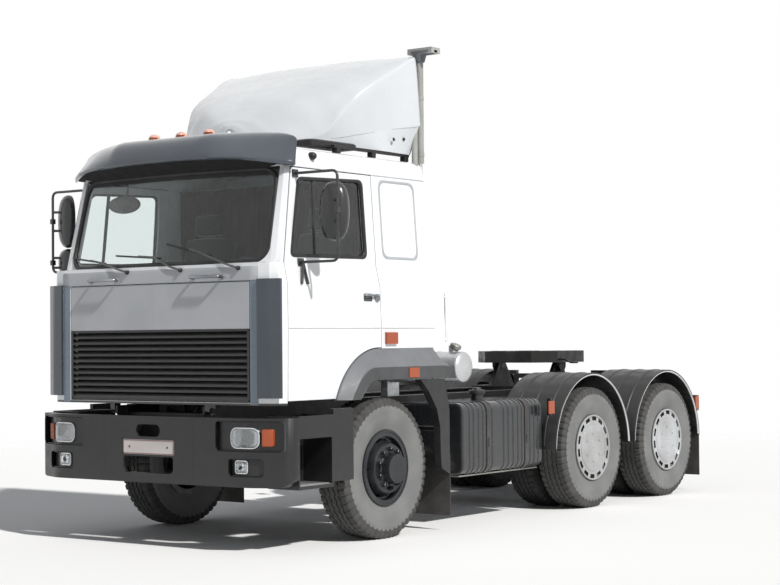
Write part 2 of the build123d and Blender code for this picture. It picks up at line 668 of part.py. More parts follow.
shell_side = [(door_rear[0][0] + seam, arch_top), (door_rear[1][0] + seam, belt_z + 20),
              (door_rear[2][0] + seam, gutter_z), (cab_rear, gutter_z), (cab_rear, arch_top)]
left_side = side_skin(0, cab_panel) & prism_x(shell_side, 0, half_width)
back_rows = [(cab_half - cab_panel, arch_top)] + side_profile(cab_panel)[1:]
back_wall = prism_y(back_rows + [(-x, z) for x, z in reversed(back_rows)], cab_rear - cab_panel,
                    cab_rear)
firewall_y = -1195
hatch_well = firewall_y - cab_panel
hatch_gap = hatch_half + seam
front_wall = prism_z(front_plan(firewall_y), front_bottom, belt_z + 5)
front_wall = front_wall - box(-hatch_gap, hatch_gap, front_face - 10, hatch_well,
                              grille_bottom - seam, hatch_top + seam)
section = side_profile(0) + [(-x, z) for x, z in reversed(side_profile(0))]
front_wall = front_wall & prism_y(section, front_face - 10, 0)
door_clear = [(y - door_seam, z) for y, z in door_front]
door_clear += [(door_front[-1][0] - door_seam, front_bottom - 10), (0, front_bottom - 10),
               (0, gutter_z)]
door_way = prism_x(door_clear, pillar_inner - 1, half_width)
front_wall = front_wall - door_way - other_side(door_way)
cowl_top = box(-pillar_inner, pillar_inner, firewall_y, -1150, belt_z - 30, belt_z + 5)
windscreen_foot = belt_half - 99
windscreen_head = gutter_half - 72
head_inner = gutter_half - cab_panel - door_seam
pillar_foot = [(windscreen_foot, -1110), (windscreen_foot, -1200), (belt_half - 50, -1184),
               (belt_half - 4, -1150), (pillar_inner, -1149), (pillar_inner, -1110)]
pillar_head = [(windscreen_head, -950), (windscreen_head, -1036), (gutter_half - 38, -1034),
               (gutter_half - 4, -1009), (head_inner, -1008), (head_inner, -950)]
pillar = loft([outline(pillar_foot, lambda p: (p.X, p.Y, belt_z + 5)),
               outline(pillar_head, lambda p: (p.X, p.Y, gutter_z))], ruled=True)
lug_inner = rail_half + hinge_block + 6
lug_ring = 32
cab_lug = box(lug_inner, lug_inner + 44, hinge_y - lug_ring, hinge_y + lug_ring, hinge_z,
              front_bottom)
cab_lug = cab_lug + rod_x(lug_ring, lug_inner, lug_inner + 44, hinge_y, hinge_z)
cab_lug = cab_lug - rod_x(hinge_pin + pin_play, lug_inner - 10, lug_inner + 60, hinge_y, hinge_z)
buffer_outer = hatch_half - 20
buffer_z = hatch_split + 90
buffer = prism_z(hatch_plan(hatch_half, hatch_thick + seat_play, 100), buffer_z, buffer_z + 60)
buffer = buffer & box(buffer_outer - 50, buffer_outer, front_face, hatch_well + 5, hatch_split,
                      hatch_top)
cab_shell = fused([back_wall, left_side, other_side(left_side), front_wall, cowl_top, pillar,
                   other_side(pillar), cab_lug, other_side(cab_lug), buffer, other_side(buffer)])
save("cab_shell", cab_shell)

# ---- Cab floor, stepped over the wheels and raised over the engine -------------------------------
floor_low = [(firewall_y, cab_bottom), (-740, cab_bottom), (-640, 1230), (-480, 1345),
             (-250, arch_top - cab_panel), (cab_rear - cab_panel, arch_top - cab_panel)]
floor_high = [(cab_rear - cab_panel, arch_top), (-255, arch_top), (-500, 1380), (-668, 1258),
              (-760, cab_bottom + cab_panel), (firewall_y, cab_bottom + cab_panel)]
cab_floor = prism_x(floor_low + floor_high, -floor_half, floor_half)
tunnel_half = engine_half + 45
tunnel_top = engine_top + 50
tunnel_front = -1150
tunnel_rear = -440
tunnel = box(-tunnel_half - cab_panel, tunnel_half + cab_panel, tunnel_front, tunnel_rear,
             cab_bottom, tunnel_top + cab_panel)
tunnel_inside = box(-tunnel_half, tunnel_half, tunnel_front + cab_panel, tunnel_rear,
                    cab_bottom - 10, tunnel_top)
sill_front = ear_end + seat_play
sill = box(floor_half, cab_half - cab_panel - seat_play, sill_front, -760, cab_bottom,
           cab_bottom + cab_panel)
cab_floor = fused([cab_floor, tunnel, sill, other_side(sill)]) - tunnel_inside
save("cab_floor", cab_floor)

# ---- Roof cap ------------------------------------------------------------------------------------
roof_front = -1145


def roof_block(inset):
    edge = gutter_half - 26
    across = [(-gutter_half + inset, gutter_z - inset), (-edge + inset, roof_z - 93 - inset, 80),
              (-500, roof_z - 20 - inset, 1500), (500, roof_z - 20 - inset, 1500),
              (edge - inset, roof_z - 93 - inset, 80), (gutter_half - inset, gutter_z - inset)]
    above = [(-gutter_half, cab_rear - inset), (-gutter_half, -1000 + inset),
             (5 - windscreen_head, -1055 + inset), (-500, roof_front + 25 + inset), (0, roof_front + inset),
             (500, roof_front + 25 + inset), (windscreen_head - 5, -1055 + inset),
             (gutter_half, -1000 + inset), (gutter_half, cab_rear - inset)]
    along = [(roof_front - 20, gutter_z - inset - 5), (roof_front - 20 + inset, roof_z - 25, 60),
             (-900, roof_z + 15 - inset, 900), (cab_rear - inset, roof_z - inset, 110),
             (cab_rear - inset, gutter_z - inset - 5)]
    block = prism_y(across, roof_front - 50, cab_rear + 50)
    block = block & prism_z(above, gutter_z - 50, roof_z + 50)
    return block & prism_x(along, -gutter_half - 50, gutter_half + 50)


roof_outer = roof_block(0)
save("roof_cap", roof_outer - roof_block(30))

# ---- Windscreen: one bowed pane, leaning back ----------------------------------------------------
glass_thick = 8


def bowed(half, y_end, y_middle, z):
    """Bowed strip of glass seen from above, at height z."""
    rows = [ThreePointArc((-half, y_end, z), (0, y_middle, z), (half, y_end, z)),
            Line((half, y_end, z), (half, y_end + glass_thick, z)),
            ThreePointArc((half, y_end + glass_thick, z), (0, y_middle + glass_thick, z),
                          (-half, y_end + glass_thick, z)),
            Line((-half, y_end + glass_thick, z), (-half, y_end, z))]
    return make_face(Curve() + rows)


glass_foot = belt_z + 5 + seat_play
glass_head = gutter_z - seat_play
windscreen = loft([bowed(windscreen_foot - seat_play, -1185, -1290, glass_foot),
                   bowed(windscreen_head - seat_play, -1020, -1125, glass_head)], ruled=True)
save("windscreen", windscreen)

# ---- Corner panels beside the grille, and the wheel flares ---------------------------------------
corner_outer = cab_half + 16
corner_inner = cab_half - 164
corner_rows = [(corner_inner, front_face + front_sweep), (corner_inner, front_face - 2),
               (cab_half - 65, -1300, 120), (corner_outer, -1262, 12), (corner_outer, -1248),
               (cab_half - 28, -1232), (cab_half - 80, -1272)]
corner_panel = prism_z(corner_rows, 1098, 1940)
save("corner_panels", corner_panel, other_side(corner_panel))

flare_rear = [(600, arch_top), (752, 1287), (727, 1203)]
flare_low = [(-314, 1203, 195), (-441, cab_bottom)]
flare_top_rows = [(arch_foot, cab_bottom), (arch_corner, arch_top, arch_round)] + flare_rear + flare_low
flare_split_rows = [(-546, cab_bottom), (-390, 1298, 220), (640, 1298), (752, 1287),
                    (727, 1203)] + flare_low
flare_outer = half_width - 10
flare_inner_part = prism_x(flare_top_rows, floor_half, cab_half)
flare_face = loft([outline(flare_top_rows, lambda p: (cab_half, p.X, p.Y)),
                   outline(flare_split_rows, lambda p: (flare_outer, p.X, p.Y))], ruled=True)
flare = flare_inner_part + flare_face
save("wheel_flares", flare, other_side(flare))

# ---- Sun visor: a hooded strip over the windscreen -----------------------------------------------
visor_half = cab_half - 34
visor_back = -950
visor_wall = 15


def visor_block(inset):
    lip = gutter_z + 20
    across = [(-visor_half + inset, lip), (-700, lip + 5), (0, lip + 25), (700, lip + 5),
              (visor_half - inset, lip), (visor_half - 20 - inset, roof_z - 95),
              (visor_half - 58 - inset, roof_z - 30 - inset, 40), (620, roof_z + 30 - inset, 1200),
              (0, roof_z + 31 - inset), (-620, roof_z + 30 - inset, 1200),
              (-visor_half + 58 + inset, roof_z - 30 - inset, 40), (-visor_half + 20 + inset, roof_z - 95)]
    half = [(visor_half - inset, -1034 + inset), (visor_half - 116, -1138 + inset, 250),
            (visor_half - 356, -1262 + inset, 500), (300, -1316 + inset, 1500)]
    above = [(-x, y, *rest) for x, y, *rest in half] + half[::-1]
    above = [(-visor_half + inset, visor_back)] + above + [(visor_half - inset, visor_back)]
    along = [(visor_back, lip - 75), (-1345 + inset, lip - 75), (-1310 + inset, roof_z - 20 - inset, 90),
             (visor_back, roof_z + 33 - inset)]
    block = prism_y(across, -1400, visor_back) & prism_z(above, lip - 75, roof_z + 115)
    return block & prism_x(along, -half_width, half_width)


visor_outer = visor_block(0)
# a flange closes the hood at the back and lies on the roof and its gutters
flange = visor_outer & box(-visor_half, visor_half, visor_back - visor_wall, visor_back,
                           gutter_z - 60, roof_z + 120)
visor = (visor_outer - visor_block(visor_wall) + flange) - roof_outer
save("sun_visor", visor)

# ---- Cab lamps: three on the roof, two markers on each side --------------------------------------
cab_lamps = []
for x in (-279, 0, 279):
    dome = rod_z(34, x, -1017, roof_z - 60, roof_z + 67) - visor_outer - roof_outer
    cab_lamps.append(dome.solids().sort_by(Axis.Z)[-1])
for marker in (box(cab_half, cab_half + 22, -19, 121, 1470, 1558),
               box(flare_outer, flare_outer + 10, 159, 289, 1213, 1288)):
    cab_lamps.append(marker)
    cab_lamps.append(other_side(marker))
save("cab_lamps", *cab_lamps)

# ---- Roof deflector: a hollow moulding that widens and rises rearwards ---------------------------
# columns: y, half width and height at the foot, at the shoulder and at the top; heights are
# above the roof
deflector_table = [(-470, 210, 27, 200, 125, 100, 180), (-380, 470, 29, 455, 150, 300, 255),
                   (-250, 640, 35, 620, 165, 450, 345), (-90, 750, 65, 735, 235, 570, 445),
                   (90, 850, 100, 828, 410, 670, 545), (330, 955, 145, 915, 575, 770, 660),
                   (620, 1048, 200, 1000, 731, 880, 757)]
deflector_wall = 22
deflector_spread = (gutter_half - 4) / deflector_table[-1][1]


def deflector_block(inset):
    sections = []
    for y, foot, foot_rise, shoulder, shoulder_rise, top, top_rise in deflector_table:
        foot_z = roof_z + foot_rise
        shoulder_z = roof_z + shoulder_rise
        top_z = roof_z + top_rise
        foot *= deflector_spread
        shoulder *= deflector_spread
        top *= deflector_spread
        rows = [(-foot + inset, foot_z - inset), (-shoulder + inset, shoulder_z - inset / 2),
                (-top + inset, top_z - inset), (top - inset, top_z - inset),
                (shoulder - inset, shoulder_z - inset / 2), (foot - inset, foot_z - inset)]
        place_y = y + inset
        sections.append(outline(rows, lambda p, y=place_y: (p.X, y, p.Y)))
    return loft(sections, ruled=True)


deflector = deflector_block(0) - deflector_block(deflector_wall)
base_rail = box(600, 640, -330, 560, roof_z - 200, roof_z + 75) - roof_outer
deflector = deflector + base_rail + other_side(base_rail)
base_bar = box(-640, 640, 480, 520, roof_z - 60, roof_z + 45) - roof_outer
deflector = deflector + base_bar
save("roof_deflector", deflector)

# ---- Side fairings behind the cab with a grab rail, and the intake snorkel -----------------------
fairing_depth = 140
fairing_top = roof_z - 95
fairing_low = 1460
fairing_wall = 25
fairing_flare = 66           # how far the rear edge's top stands out from the gutter
fairing_rows = [(cab_half, fairing_low), (cab_half, waist_z), (cab_half - 12, shoulder_z),
                (belt_half, belt_z), (gutter_half, gutter_z), (gutter_half - 4, fairing_top)]
fairing_end = [(cab_half, fairing_low), (cab_half, waist_z), (cab_half - 12, shoulder_z),
               (cab_half - 20, belt_z), (gutter_half + fairing_flare, gutter_z),
               (gutter_half + fairing_flare, fairing_top)]


def fairing_section(rows, y):
    return outline(rows + [(x - fairing_wall, z) for x, z in reversed(rows)],
                   lambda p: (p.X, y, p.Y))


fairing_back = cab_rear + fairing_depth
fairing = loft([fairing_section(fairing_rows, cab_rear), fairing_section(fairing_end, fairing_back)],
               ruled=True)
rail_x = cab_half - 12
rail_y = fairing_back + 30
fairing = fairing + rod_z(12, rail_x, rail_y, 1480, 1860)
for z in (1500, 1840):
    fairing = fairing + box(rail_x - 6, rail_x + 6, fairing_back, rail_y, z - 6, z + 6)
save("side_fairings", fairing, other_side(fairing))

snorkel_x = cab_half - 150
snorkel_y = cab_rear + 36
snorkel_top = 3765
snorkel = rod_z(30, snorkel_x, snorkel_y, 1500, snorkel_top)
snorkel = snorkel + box(snorkel_x - 85, snorkel_x + 149, snorkel_y - 45, snorkel_y + 75, snorkel_top,
                        snorkel_top + 45)
for z in (1650, 2200, 2680):
    snorkel = snorkel + box(snorkel_x - 15, snorkel_x + 15, cab_rear, snorkel_y, z - 15, z + 15)
save("snorkel", snorkel)

# ---- Inside the cab: dashboard with steering wheel, seats and bunk -------------------------------
dash_rows = [(firewall_y, 1560), (firewall_y, belt_z - 32), (-980, belt_z - 40, 40),
             (-930, 1900, 40), (-1000, 1560)]
wheel_x = 560
wheel_y = -740
wheel_z = 1960
inside_half = belt_half - cab_panel - 20
dashboard = prism_x(dash_rows, -inside_half, inside_half)
steering = Torus(225, 16) + Cylinder(55, 40) + Box(440, 24, 20) + Pos(0, 0, -190) * Cylinder(25, 380)
dashboard = dashboard + Pos(wheel_x, wheel_y, wheel_z) * Rot(-40, 0, 0) * steering
save("dashboard", dashboard)

seat_x = 590
seat_rows = [(-560, arch_top + 160), (-560, arch_top + 330, 50), (-170, arch_top + 300, 40),
             (-90, arch_top + 920, 50), (20, arch_top + 920, 40), (0, arch_top), (-430, arch_top)]
seat = prism_x(seat_rows, seat_x - 250, seat_x + 250)
save("seats", seat, other_side(seat))
bunk_rows = [(60, arch_top), (60, arch_top + 420, 60), (cab_rear - cab_panel, arch_top + 420),
             (cab_rear - cab_panel, arch_top)]
save("bunk", prism_x(bunk_rows, -inside_half, inside_half))

# ---- Front hatch and its grille, hung from the cowl ----------------------------------------------
hatch_panel = prism_z(hatch_plan(hatch_half, 0, hatch_thick), hatch_split, hatch_top)
save("hatch_panel", hatch_panel)
slat_count = 10
slat_edge = 34
slat_pitch = (hatch_split - grille_bottom - slat_edge) / slat_count
grille = prism_z(hatch_plan(hatch_half, 0, hatch_thick), grille_bottom, hatch_split)
for number in range(slat_count):
    gap_z = grille_bottom + slat_edge + number * slat_pitch
    grille = grille - box(-hatch_half + 22, hatch_half - 22, front_face - 10,
                          front_face + hatch_thick + 40, gap_z, gap_z + slat_pitch * 0.36)
save("grille", grille)

# ---- Doors with their glass and mirrors ----------------------------------------------------------
door_rows = door_front + [(arch_foot - 8, cab_bottom + 11),
                          (arch_corner - 5, arch_top + seam, arch_round)] + door_rear
window_rows = [(-932, 2672), (-178, 2698), (-177, 2118), (-1068, 2106)]
window_round = 45


def window(inset):
    middle_y = sum(y for y, z in window_rows) / 4
    middle_z = sum(z for y, z in window_rows) / 4
    rows = []
    for y, z in window_rows:
        step_y = inset if y < middle_y else -inset
        step_z = inset if z < middle_z else -inset
        rows.append((y + step_y, z + step_z, window_round))
    return prism_x(rows, 0, half_width)


door = side_skin(0, cab_panel) & prism_x(door_rows, 0, half_width)
door = door - window(0)
door_glass = side_skin(14, 20) & window(seat_play)
save("door_left", door)
save("door_right", other_side(door))
save("door_glass_left", door_glass)
save("door_glass_right", other_side(door_glass))

arm_radius = 11
arm_x = cab_half + 300
arm_y = -965
arm_low = 2062
arm_high = 2702
# mirror heads: inner and outer edge out from the cab side, foot and head height
heads = {"left": [(45, 200, 2100, 2440)], "right": [(45, 200, 2270, 2640), (55, 195, 2075, 2255)]}


def side_face(z):
    """Outer face of the cab side at a height."""
    rows = side_profile(0)
    for (low_x, low_z), (high_x, high_z) in zip(rows, rows[1:]):
        if z <= high_z:
            return low_x + (high_x - low_x) * (z - low_z) / (high_z - low_z)
    return gutter_half


for side in ("left", "right"):
    mirror_arm = rod_z(arm_radius, arm_x, arm_y, arm_low, arm_high)
    for z in (arm_low, arm_high):
        mirror_arm = mirror_arm + rod_x(arm_radius, side_face(z) + 12, arm_x, arm_y, z)
        foot_rows = [(side_face(z - 22) + 0.05, z - 22), (side_face(z - 22) + 14, z - 22),
                     (side_face(z - 22) + 14, z + 22), (side_face(z + 22) + 0.05, z + 22)]
        if z - 22 < belt_z:
            foot_rows.append((belt_half + 0.05, belt_z))
        mirror_arm = mirror_arm + prism_y(foot_rows, arm_y - 30, arm_y + 30)
        mirror_arm = mirror_arm + Pos(arm_x, arm_y, z) * Sphere(arm_radius)
    for inner, outer, z0, z1 in heads[side]:
        x0 = cab_half + inner
        x1 = cab_half + outer
        head_rows = [(x0, z0, 40), (x1, z0, 40), (x1, z1, 40), (x0, z1, 40)]
        mirror_arm = mirror_arm + prism_y(head_rows, -1040, -985)
        mirror_arm = mirror_arm + rod_x(8, x1 - 20, arm_x, arm_y - 20, (z0 + z1) / 2)
        mirror_arm = mirror_arm + box(arm_x - 12, arm_x + 6, arm_y - 32, arm_y,
                                      (z0 + z1) / 2 - 20, (z0 + z1) / 2 + 20)
    if side == "right":
        mirror_arm = other_side(mirror_arm)
    save("mirror_" + side, mirror_arm)
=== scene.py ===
import json
from math import cos, hypot, pi, radians, sin, tau
import bmesh
import bpy
from mathutils import Matrix, Vector


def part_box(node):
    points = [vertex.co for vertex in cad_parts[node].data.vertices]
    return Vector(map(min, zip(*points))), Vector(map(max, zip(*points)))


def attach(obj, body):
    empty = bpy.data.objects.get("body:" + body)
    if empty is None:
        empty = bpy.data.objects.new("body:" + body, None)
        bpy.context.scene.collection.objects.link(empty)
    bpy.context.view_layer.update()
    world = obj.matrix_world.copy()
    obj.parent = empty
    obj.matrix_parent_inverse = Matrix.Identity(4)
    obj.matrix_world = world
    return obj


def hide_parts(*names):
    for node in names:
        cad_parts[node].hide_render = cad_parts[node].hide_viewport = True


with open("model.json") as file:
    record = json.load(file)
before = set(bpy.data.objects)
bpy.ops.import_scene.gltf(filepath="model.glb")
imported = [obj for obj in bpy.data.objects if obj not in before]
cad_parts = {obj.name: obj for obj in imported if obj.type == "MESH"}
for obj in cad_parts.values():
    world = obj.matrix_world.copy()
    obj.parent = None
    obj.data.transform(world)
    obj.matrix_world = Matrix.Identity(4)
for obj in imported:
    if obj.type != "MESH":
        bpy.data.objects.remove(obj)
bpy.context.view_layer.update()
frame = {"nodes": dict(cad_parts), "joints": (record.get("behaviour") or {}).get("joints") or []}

# ---- Frame ---------------------------------------------------------------------------------------
# Two pressed steel channels tied by cross members, in black chassis paint gone dull with road dust.
# Axles, springs and shafts hang from it and wear the same paint. Lengths along the truck are
# written from the front axle, as on a chassis drawing, and at() turns them into the row's Y.
sides = (("left", 1), ("right", -1))
joint_place = {joint["name"]: joint["pos_m"] for joint in frame["joints"]}
front_axle_y = joint_place["steer_left"][1]
axle_height = joint_place["steer_left"][2]
axle_spots = [0.0, joint_place["spin_middle_left"][1] - front_axle_y,
              joint_place["spin_rear_left"][1] - front_axle_y]


def at(x, along, z):
    """A point given by its distance behind the front axle."""
    return (x, along + front_axle_y, z)


def screen_tone(red, green, blue):
    """A colour written as it looks on a screen, turned into the light it gives off."""
    return tuple(((c + 0.055) / 1.055) ** 2.4 if c > 0.04 else c / 12.92
                 for c in (red, green, blue)) + (1.0,)


def finish_of(name, tone, second, patch=3.0, rough=0.5, spread=0.1, grain=200.0, relief=0.1,
              metal=0.0, coat=0.0, dust=0.0, dust_top=1.1, sealed=0.0):
    """Paint, plastic or metal: two close tones in patches, uneven gloss, grain, dust low down,
    and black underseal below a height."""
    material = bpy.data.materials.new(name)
    material.use_nodes = True
    nodes = material.node_tree.nodes
    link = material.node_tree.links.new
    shader = nodes["Principled BSDF"]
    shader.inputs["Metallic"].default_value = metal
    shader.inputs["Coat Weight"].default_value = coat
    shader.inputs["Coat Roughness"].default_value = 0.08
    place = nodes.new("ShaderNodeTexCoord").outputs["Object"]

    def cloud(size, detail):
        noise = nodes.new("ShaderNodeTexNoise")
        noise.inputs["Scale"].default_value = size
        noise.inputs["Detail"].default_value = detail
        link(place, noise.inputs["Vector"])
        return noise.outputs["Fac"]

    def height():
        split = nodes.new("ShaderNodeSeparateXYZ")
        link(place, split.inputs[0])
        return split.outputs["Z"]

    def ranged(value, low, high, to_low, to_high):
        step = nodes.new("ShaderNodeMapRange")
        link(value, step.inputs["Value"])
        for socket, number in (("From Min", low), ("From Max", high), ("To Min", to_low),
                               ("To Max", to_high)):
            step.inputs[socket].default_value = number
        return step.outputs["Result"]

    def blend(factor, first, other):
        mix = nodes.new("ShaderNodeMix")
        mix.data_type = "RGBA"
        link(factor, mix.inputs[0])
        for socket, colour in ((mix.inputs[6], first), (mix.inputs[7], other)):
            if isinstance(colour, tuple):
                socket.default_value = colour
            else:
                link(colour, socket)
        return mix.outputs[2]

    colour = blend(ranged(cloud(patch, 5.0), 0.35, 0.65, 0.0, 1.0), screen_tone(*tone),
                   screen_tone(*second))
    if dust:
        low_down = ranged(height(), 0.2, dust_top, dust, 0.0)
        broken = nodes.new("ShaderNodeMath")
        broken.operation = "MULTIPLY"
        link(low_down, broken.inputs[0])
        link(ranged(cloud(9.0, 8.0), 0.3, 0.62, 0.35, 1.0), broken.inputs[1])
        colour = blend(broken.outputs[0], colour, screen_tone(0.48, 0.47, 0.455))
    if sealed:
        under = ranged(height(), sealed - 0.003, sealed + 0.003, 1.0, 0.0)
        colour = blend(under, colour, screen_tone(0.07, 0.07, 0.07))
    link(colour, shader.inputs["Base Color"])
    link(ranged(cloud(patch * 4.0, 6.0), 0.3, 0.7, max(rough - spread, 0.02), rough + spread),
         shader.inputs["Roughness"])
    bump = nodes.new("ShaderNodeBump")
    bump.inputs["Strength"].default_value = relief
    bump.inputs["Distance"].default_value = 0.001
    link(cloud(grain, 3.0), bump.inputs["Height"])
    link(bump.outputs["Normal"], shader.inputs["Normal"])
    return material


def dress(material, *names):
    """Gives CAD nodes their finish."""
    for name in names:
        for held in frame["nodes"][name].material_slots:
            held.material = material


def soften(width, *names):
    """Rounds the sharp edges of pressed or moulded CAD nodes, as a real press leaves them."""
    for name in names:
        node = frame["nodes"][name]
        weld = node.modifiers.new("weld", "WELD")
        weld.merge_threshold = 0.00002
        edge = node.modifiers.new("edge", "BEVEL")
        edge.width = width
        edge.segments = 2
        edge.limit_method = "ANGLE"
        edge.angle_limit = radians(32)
        edge.harden_normals = True


def piece(name, body, material, shape, edge=0.0, levels=0, sharp=35.0, stands_for=()):
    """One mesh made of (points, faces), riding on a body."""
    mesh = bpy.data.meshes.new(name)
    mesh.from_pydata([tuple(point) for point in shape[0]], [], shape[1])
    work = bmesh.new()
    work.from_mesh(mesh)
    bmesh.ops.recalc_face_normals(work, faces=work.faces)
    work.to_mesh(mesh)
    work.free()
    mesh.polygons.foreach_set("use_smooth", [True] * len(mesh.polygons))
    mesh.set_sharp_from_angle(angle=radians(sharp))
    thing = bpy.data.objects.new(name, mesh)
    bpy.context.scene.collection.objects.link(thing)
    for coat in material if isinstance(material, list) else [material]:
        mesh.materials.append(coat)
    if edge:
        bevel = thing.modifiers.new("edge", "BEVEL")
        bevel.width = edge
        bevel.segments = 3
        bevel.limit_method = "ANGLE"
        bevel.harden_normals = True
    if levels:
        fine = thing.modifiers.new("fine", "SUBSURF")
        fine.levels = levels
        fine.render_levels = levels
    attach(thing, body)
    if stands_for:
        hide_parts(*stands_for)
    return thing


def merged(*shapes):
    points = []
    faces = []
    for shape in shapes:
        start = len(points)
        points += list(shape[0])
        faces += [[start + number for number in face] for face in shape[1]]
    return points, faces


def mirrored(shape):
    return [(-x, y, z) for x, y, z in shape[0]], shape[1]


def both_sides(shape):
    return merged(shape, mirrored(shape))


def rings_to_shape(rings, closed=True, caps=True):
    """Skin over rings of the same number of points."""
    count = len(rings[0])
    points = [point for ring in rings for point in ring]
    faces = []
    for row in range(len(rings) - 1):
        for step in range(count if closed else count - 1):
            after = (step + 1) % count
            faces.append([row * count + step, row * count + after,
                          (row + 1) * count + after, (row + 1) * count + step])
    if caps:
        faces.append(list(range(count)))
        faces.append([len(points) - 1 - number for number in range(count)])
    return points, faces


def turned(profile, centre, axis=0, steps=48):
    """Profile rows of (along the axis, radius), turned about an axis through centre."""
    rings = []
    for along, radius in profile:
        ring = []
        for step in range(steps):
            angle = tau * step / steps
            spot = [along, radius * cos(angle), radius * sin(angle)]
            spot = spot[-axis:] + spot[:-axis] if axis else spot
            ring.append(tuple(c + d for c, d in zip(centre, spot)))
        rings.append(ring)
    return rings_to_shape(rings)


def block(x0, x1, y0, y1, z0, z1):
    """A block between two corners, with Y from the front axle."""
    corners = [(x0, y0), (x1, y0), (x1, y1), (x0, y1)]
    return rings_to_shape([[at(x, y, z) for x, y in corners] for z in (z0, z1)])


def bolt_heads(spots, radius=0.011, height=0.010, axis=0, way=1):
    """Hexagon heads on washers at points in the row frame."""
    shapes = []
    for spot in spots:
        shapes.append(turned([(0.0, radius * 1.35), (way * height * 0.25, radius * 1.35)], spot,
                             axis, 14))
        shapes.append(turned([(way * height * 0.25, radius), (way * height * 0.85, radius),
                              (way * height, radius * 0.8)], spot, axis, 6))
    return merged(*shapes)


def bars(name, body, material, runs, radius, closed=False):
    """Round bars, pipes or cords along runs of points."""
    curve = bpy.data.curves.new(name, "CURVE")
    curve.dimensions = "3D"
    curve.bevel_depth = radius
    curve.bevel_resolution = 3
    curve.use_fill_caps = True
    for run in runs:
        spline = curve.splines.new("POLY")
        spline.points.add(len(run) - 1)
        for point, spot in zip(spline.points, run):
            point.co = (*spot, 1.0)
        spline.use_cyclic_u = closed
        spline.use_smooth = True
    thing = bpy.data.objects.new(name, curve)
    bpy.context.scene.collection.objects.link(thing)
    curve.materials.append(material)
    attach(thing, body)
    return thing


def bent(corners, radius, steps=6, closed=False):
    """A run of points with its corners bent to a radius."""
    run = []
    count = len(corners)
    for number, corner in enumerate(corners):
        here = Vector(corner)
        if not closed and number in (0, count - 1):
            run.append(tuple(here))
            continue
        back = Vector(corners[number - 1]) - here
        ahead = Vector(corners[(number + 1) % count]) - here
        reach = min(radius, back.length * 0.45, ahead.length * 0.45)
        start = here + back.normalized() * reach
        end = here + ahead.normalized() * reach
        for step in range(steps + 1):
            t = step / steps
            run.append(tuple(start * (1 - t) ** 2 + here * 2 * t * (1 - t) + end * t ** 2))
    return run


chassis_paint = finish_of("chassis_paint", (0.085, 0.088, 0.092), (0.115, 0.115, 0.117), rough=0.5,
                          relief=0.25, grain=90.0, dust=0.2)
dress(chassis_paint, "frame_rails", "cross_members", "axles", "leaf_springs", "propshafts",
      "knuckle_left", "knuckle_right", "track_rod", "air_tanks", "battery_box",
      "fifth_wheel_base")
rail_face = 0.430
rail_mid = 0.89
rail_spots = [at(side * rail_face, along + shift, rail_mid + lift)
              for side in (-1, 1)
              for along in (1.09, 1.75, 2.33, 3.65, 4.85)
              for shift in (-0.03, 0.03) for lift in (-0.08, 0.0, 0.08)]
rail_bolts = merged(*[bolt_heads([spot], way=1 if spot[0] > 0 else -1) for spot in rail_spots])
piece("rail_bolts", "chassis", chassis_paint, rail_bolts)

# ---- Brake pipes ---------------------------------------------------------------------------------
# Two nylon air lines clipped along the outside of each rail, and a brake chamber by each driven
# wheel: a pressed steel pot with a clamp ring, which pushes the slack adjuster.
pipe_plastic = finish_of("pipe_plastic", (0.10, 0.10, 0.11), (0.15, 0.14, 0.13), rough=0.45)
pipe_runs = [[at(side * 0.441, 1.05, z), at(side * 0.441, 5.02, z)]
             for side in (-1, 1) for z in (0.955, 0.975)]
bars("brake_pipes", "chassis", pipe_plastic, pipe_runs, 0.006)
chamber_profile = [(0.0, 0.04), (0.004, 0.07), (0.05, 0.078), (0.052, 0.088), (0.068, 0.088),
                   (0.07, 0.078), (0.13, 0.07), (0.145, 0.045)]
chambers = merged(*[turned(chamber_profile, at(side * 0.30, axle + 0.08, 0.62), 1, 28)
                    for side in (-1, 1) for axle in axle_spots[1:]])
piece("brake_chambers", "chassis", chassis_paint, chambers)

# ---- Fuel tank -----------------------------------------------------------------------------------
# Left-hand steel tank with rounded long edges and pressed ribs round it, painted dark charcoal.
# Two steel bands hold it to arms on the rail, and a vented screw cap closes the filler neck.
tank_paint = finish_of("tank_paint", (0.115, 0.124, 0.135), (0.145, 0.152, 0.162), rough=0.26,
                       spread=0.1, relief=0.3, grain=14.0, coat=0.3, dust=0.1, dust_top=0.9)
band_steel = finish_of("band_steel", (0.14, 0.14, 0.15), (0.22, 0.21, 0.20), rough=0.5, dust=0.3)
dress(band_steel, "tank_straps")
tank_low = (0.560, 0.407)
tank_high = (1.149, 0.985)
tank_ends = (1.015, 2.235)
tank_ribs = (1.12, 1.18, 1.255, 1.32, 1.455, 1.63, 1.70, 1.775, 1.85, 1.91, 2.04, 2.105, 2.17)


def rounded_frame(low, high, radius, grow=0.0, steps=6):
    """Corner-rounded rectangle as rows of two numbers, grown outwards."""
    row = []
    for turn, (u, v) in enumerate(((1, 1), (0, 1), (0, 0), (1, 0))):
        centre_u = high[0] - radius if u else low[0] + radius
        centre_v = high[1] - radius if v else low[1] + radius
        for step in range(steps + 1):
            angle = (turn + step / steps) * pi / 2
            row.append((centre_u + (radius + grow) * cos(angle),
                        centre_v + (radius + grow) * sin(angle)))
    return row


def moulded_block(low, high, corner, rows):
    """Corner-rounded block built along the truck; rows are (place, growth)."""
    return rings_to_shape([[at(x, along, z) for x, z in rounded_frame(low, high, corner, grow)]
                           for along, grow in rows])


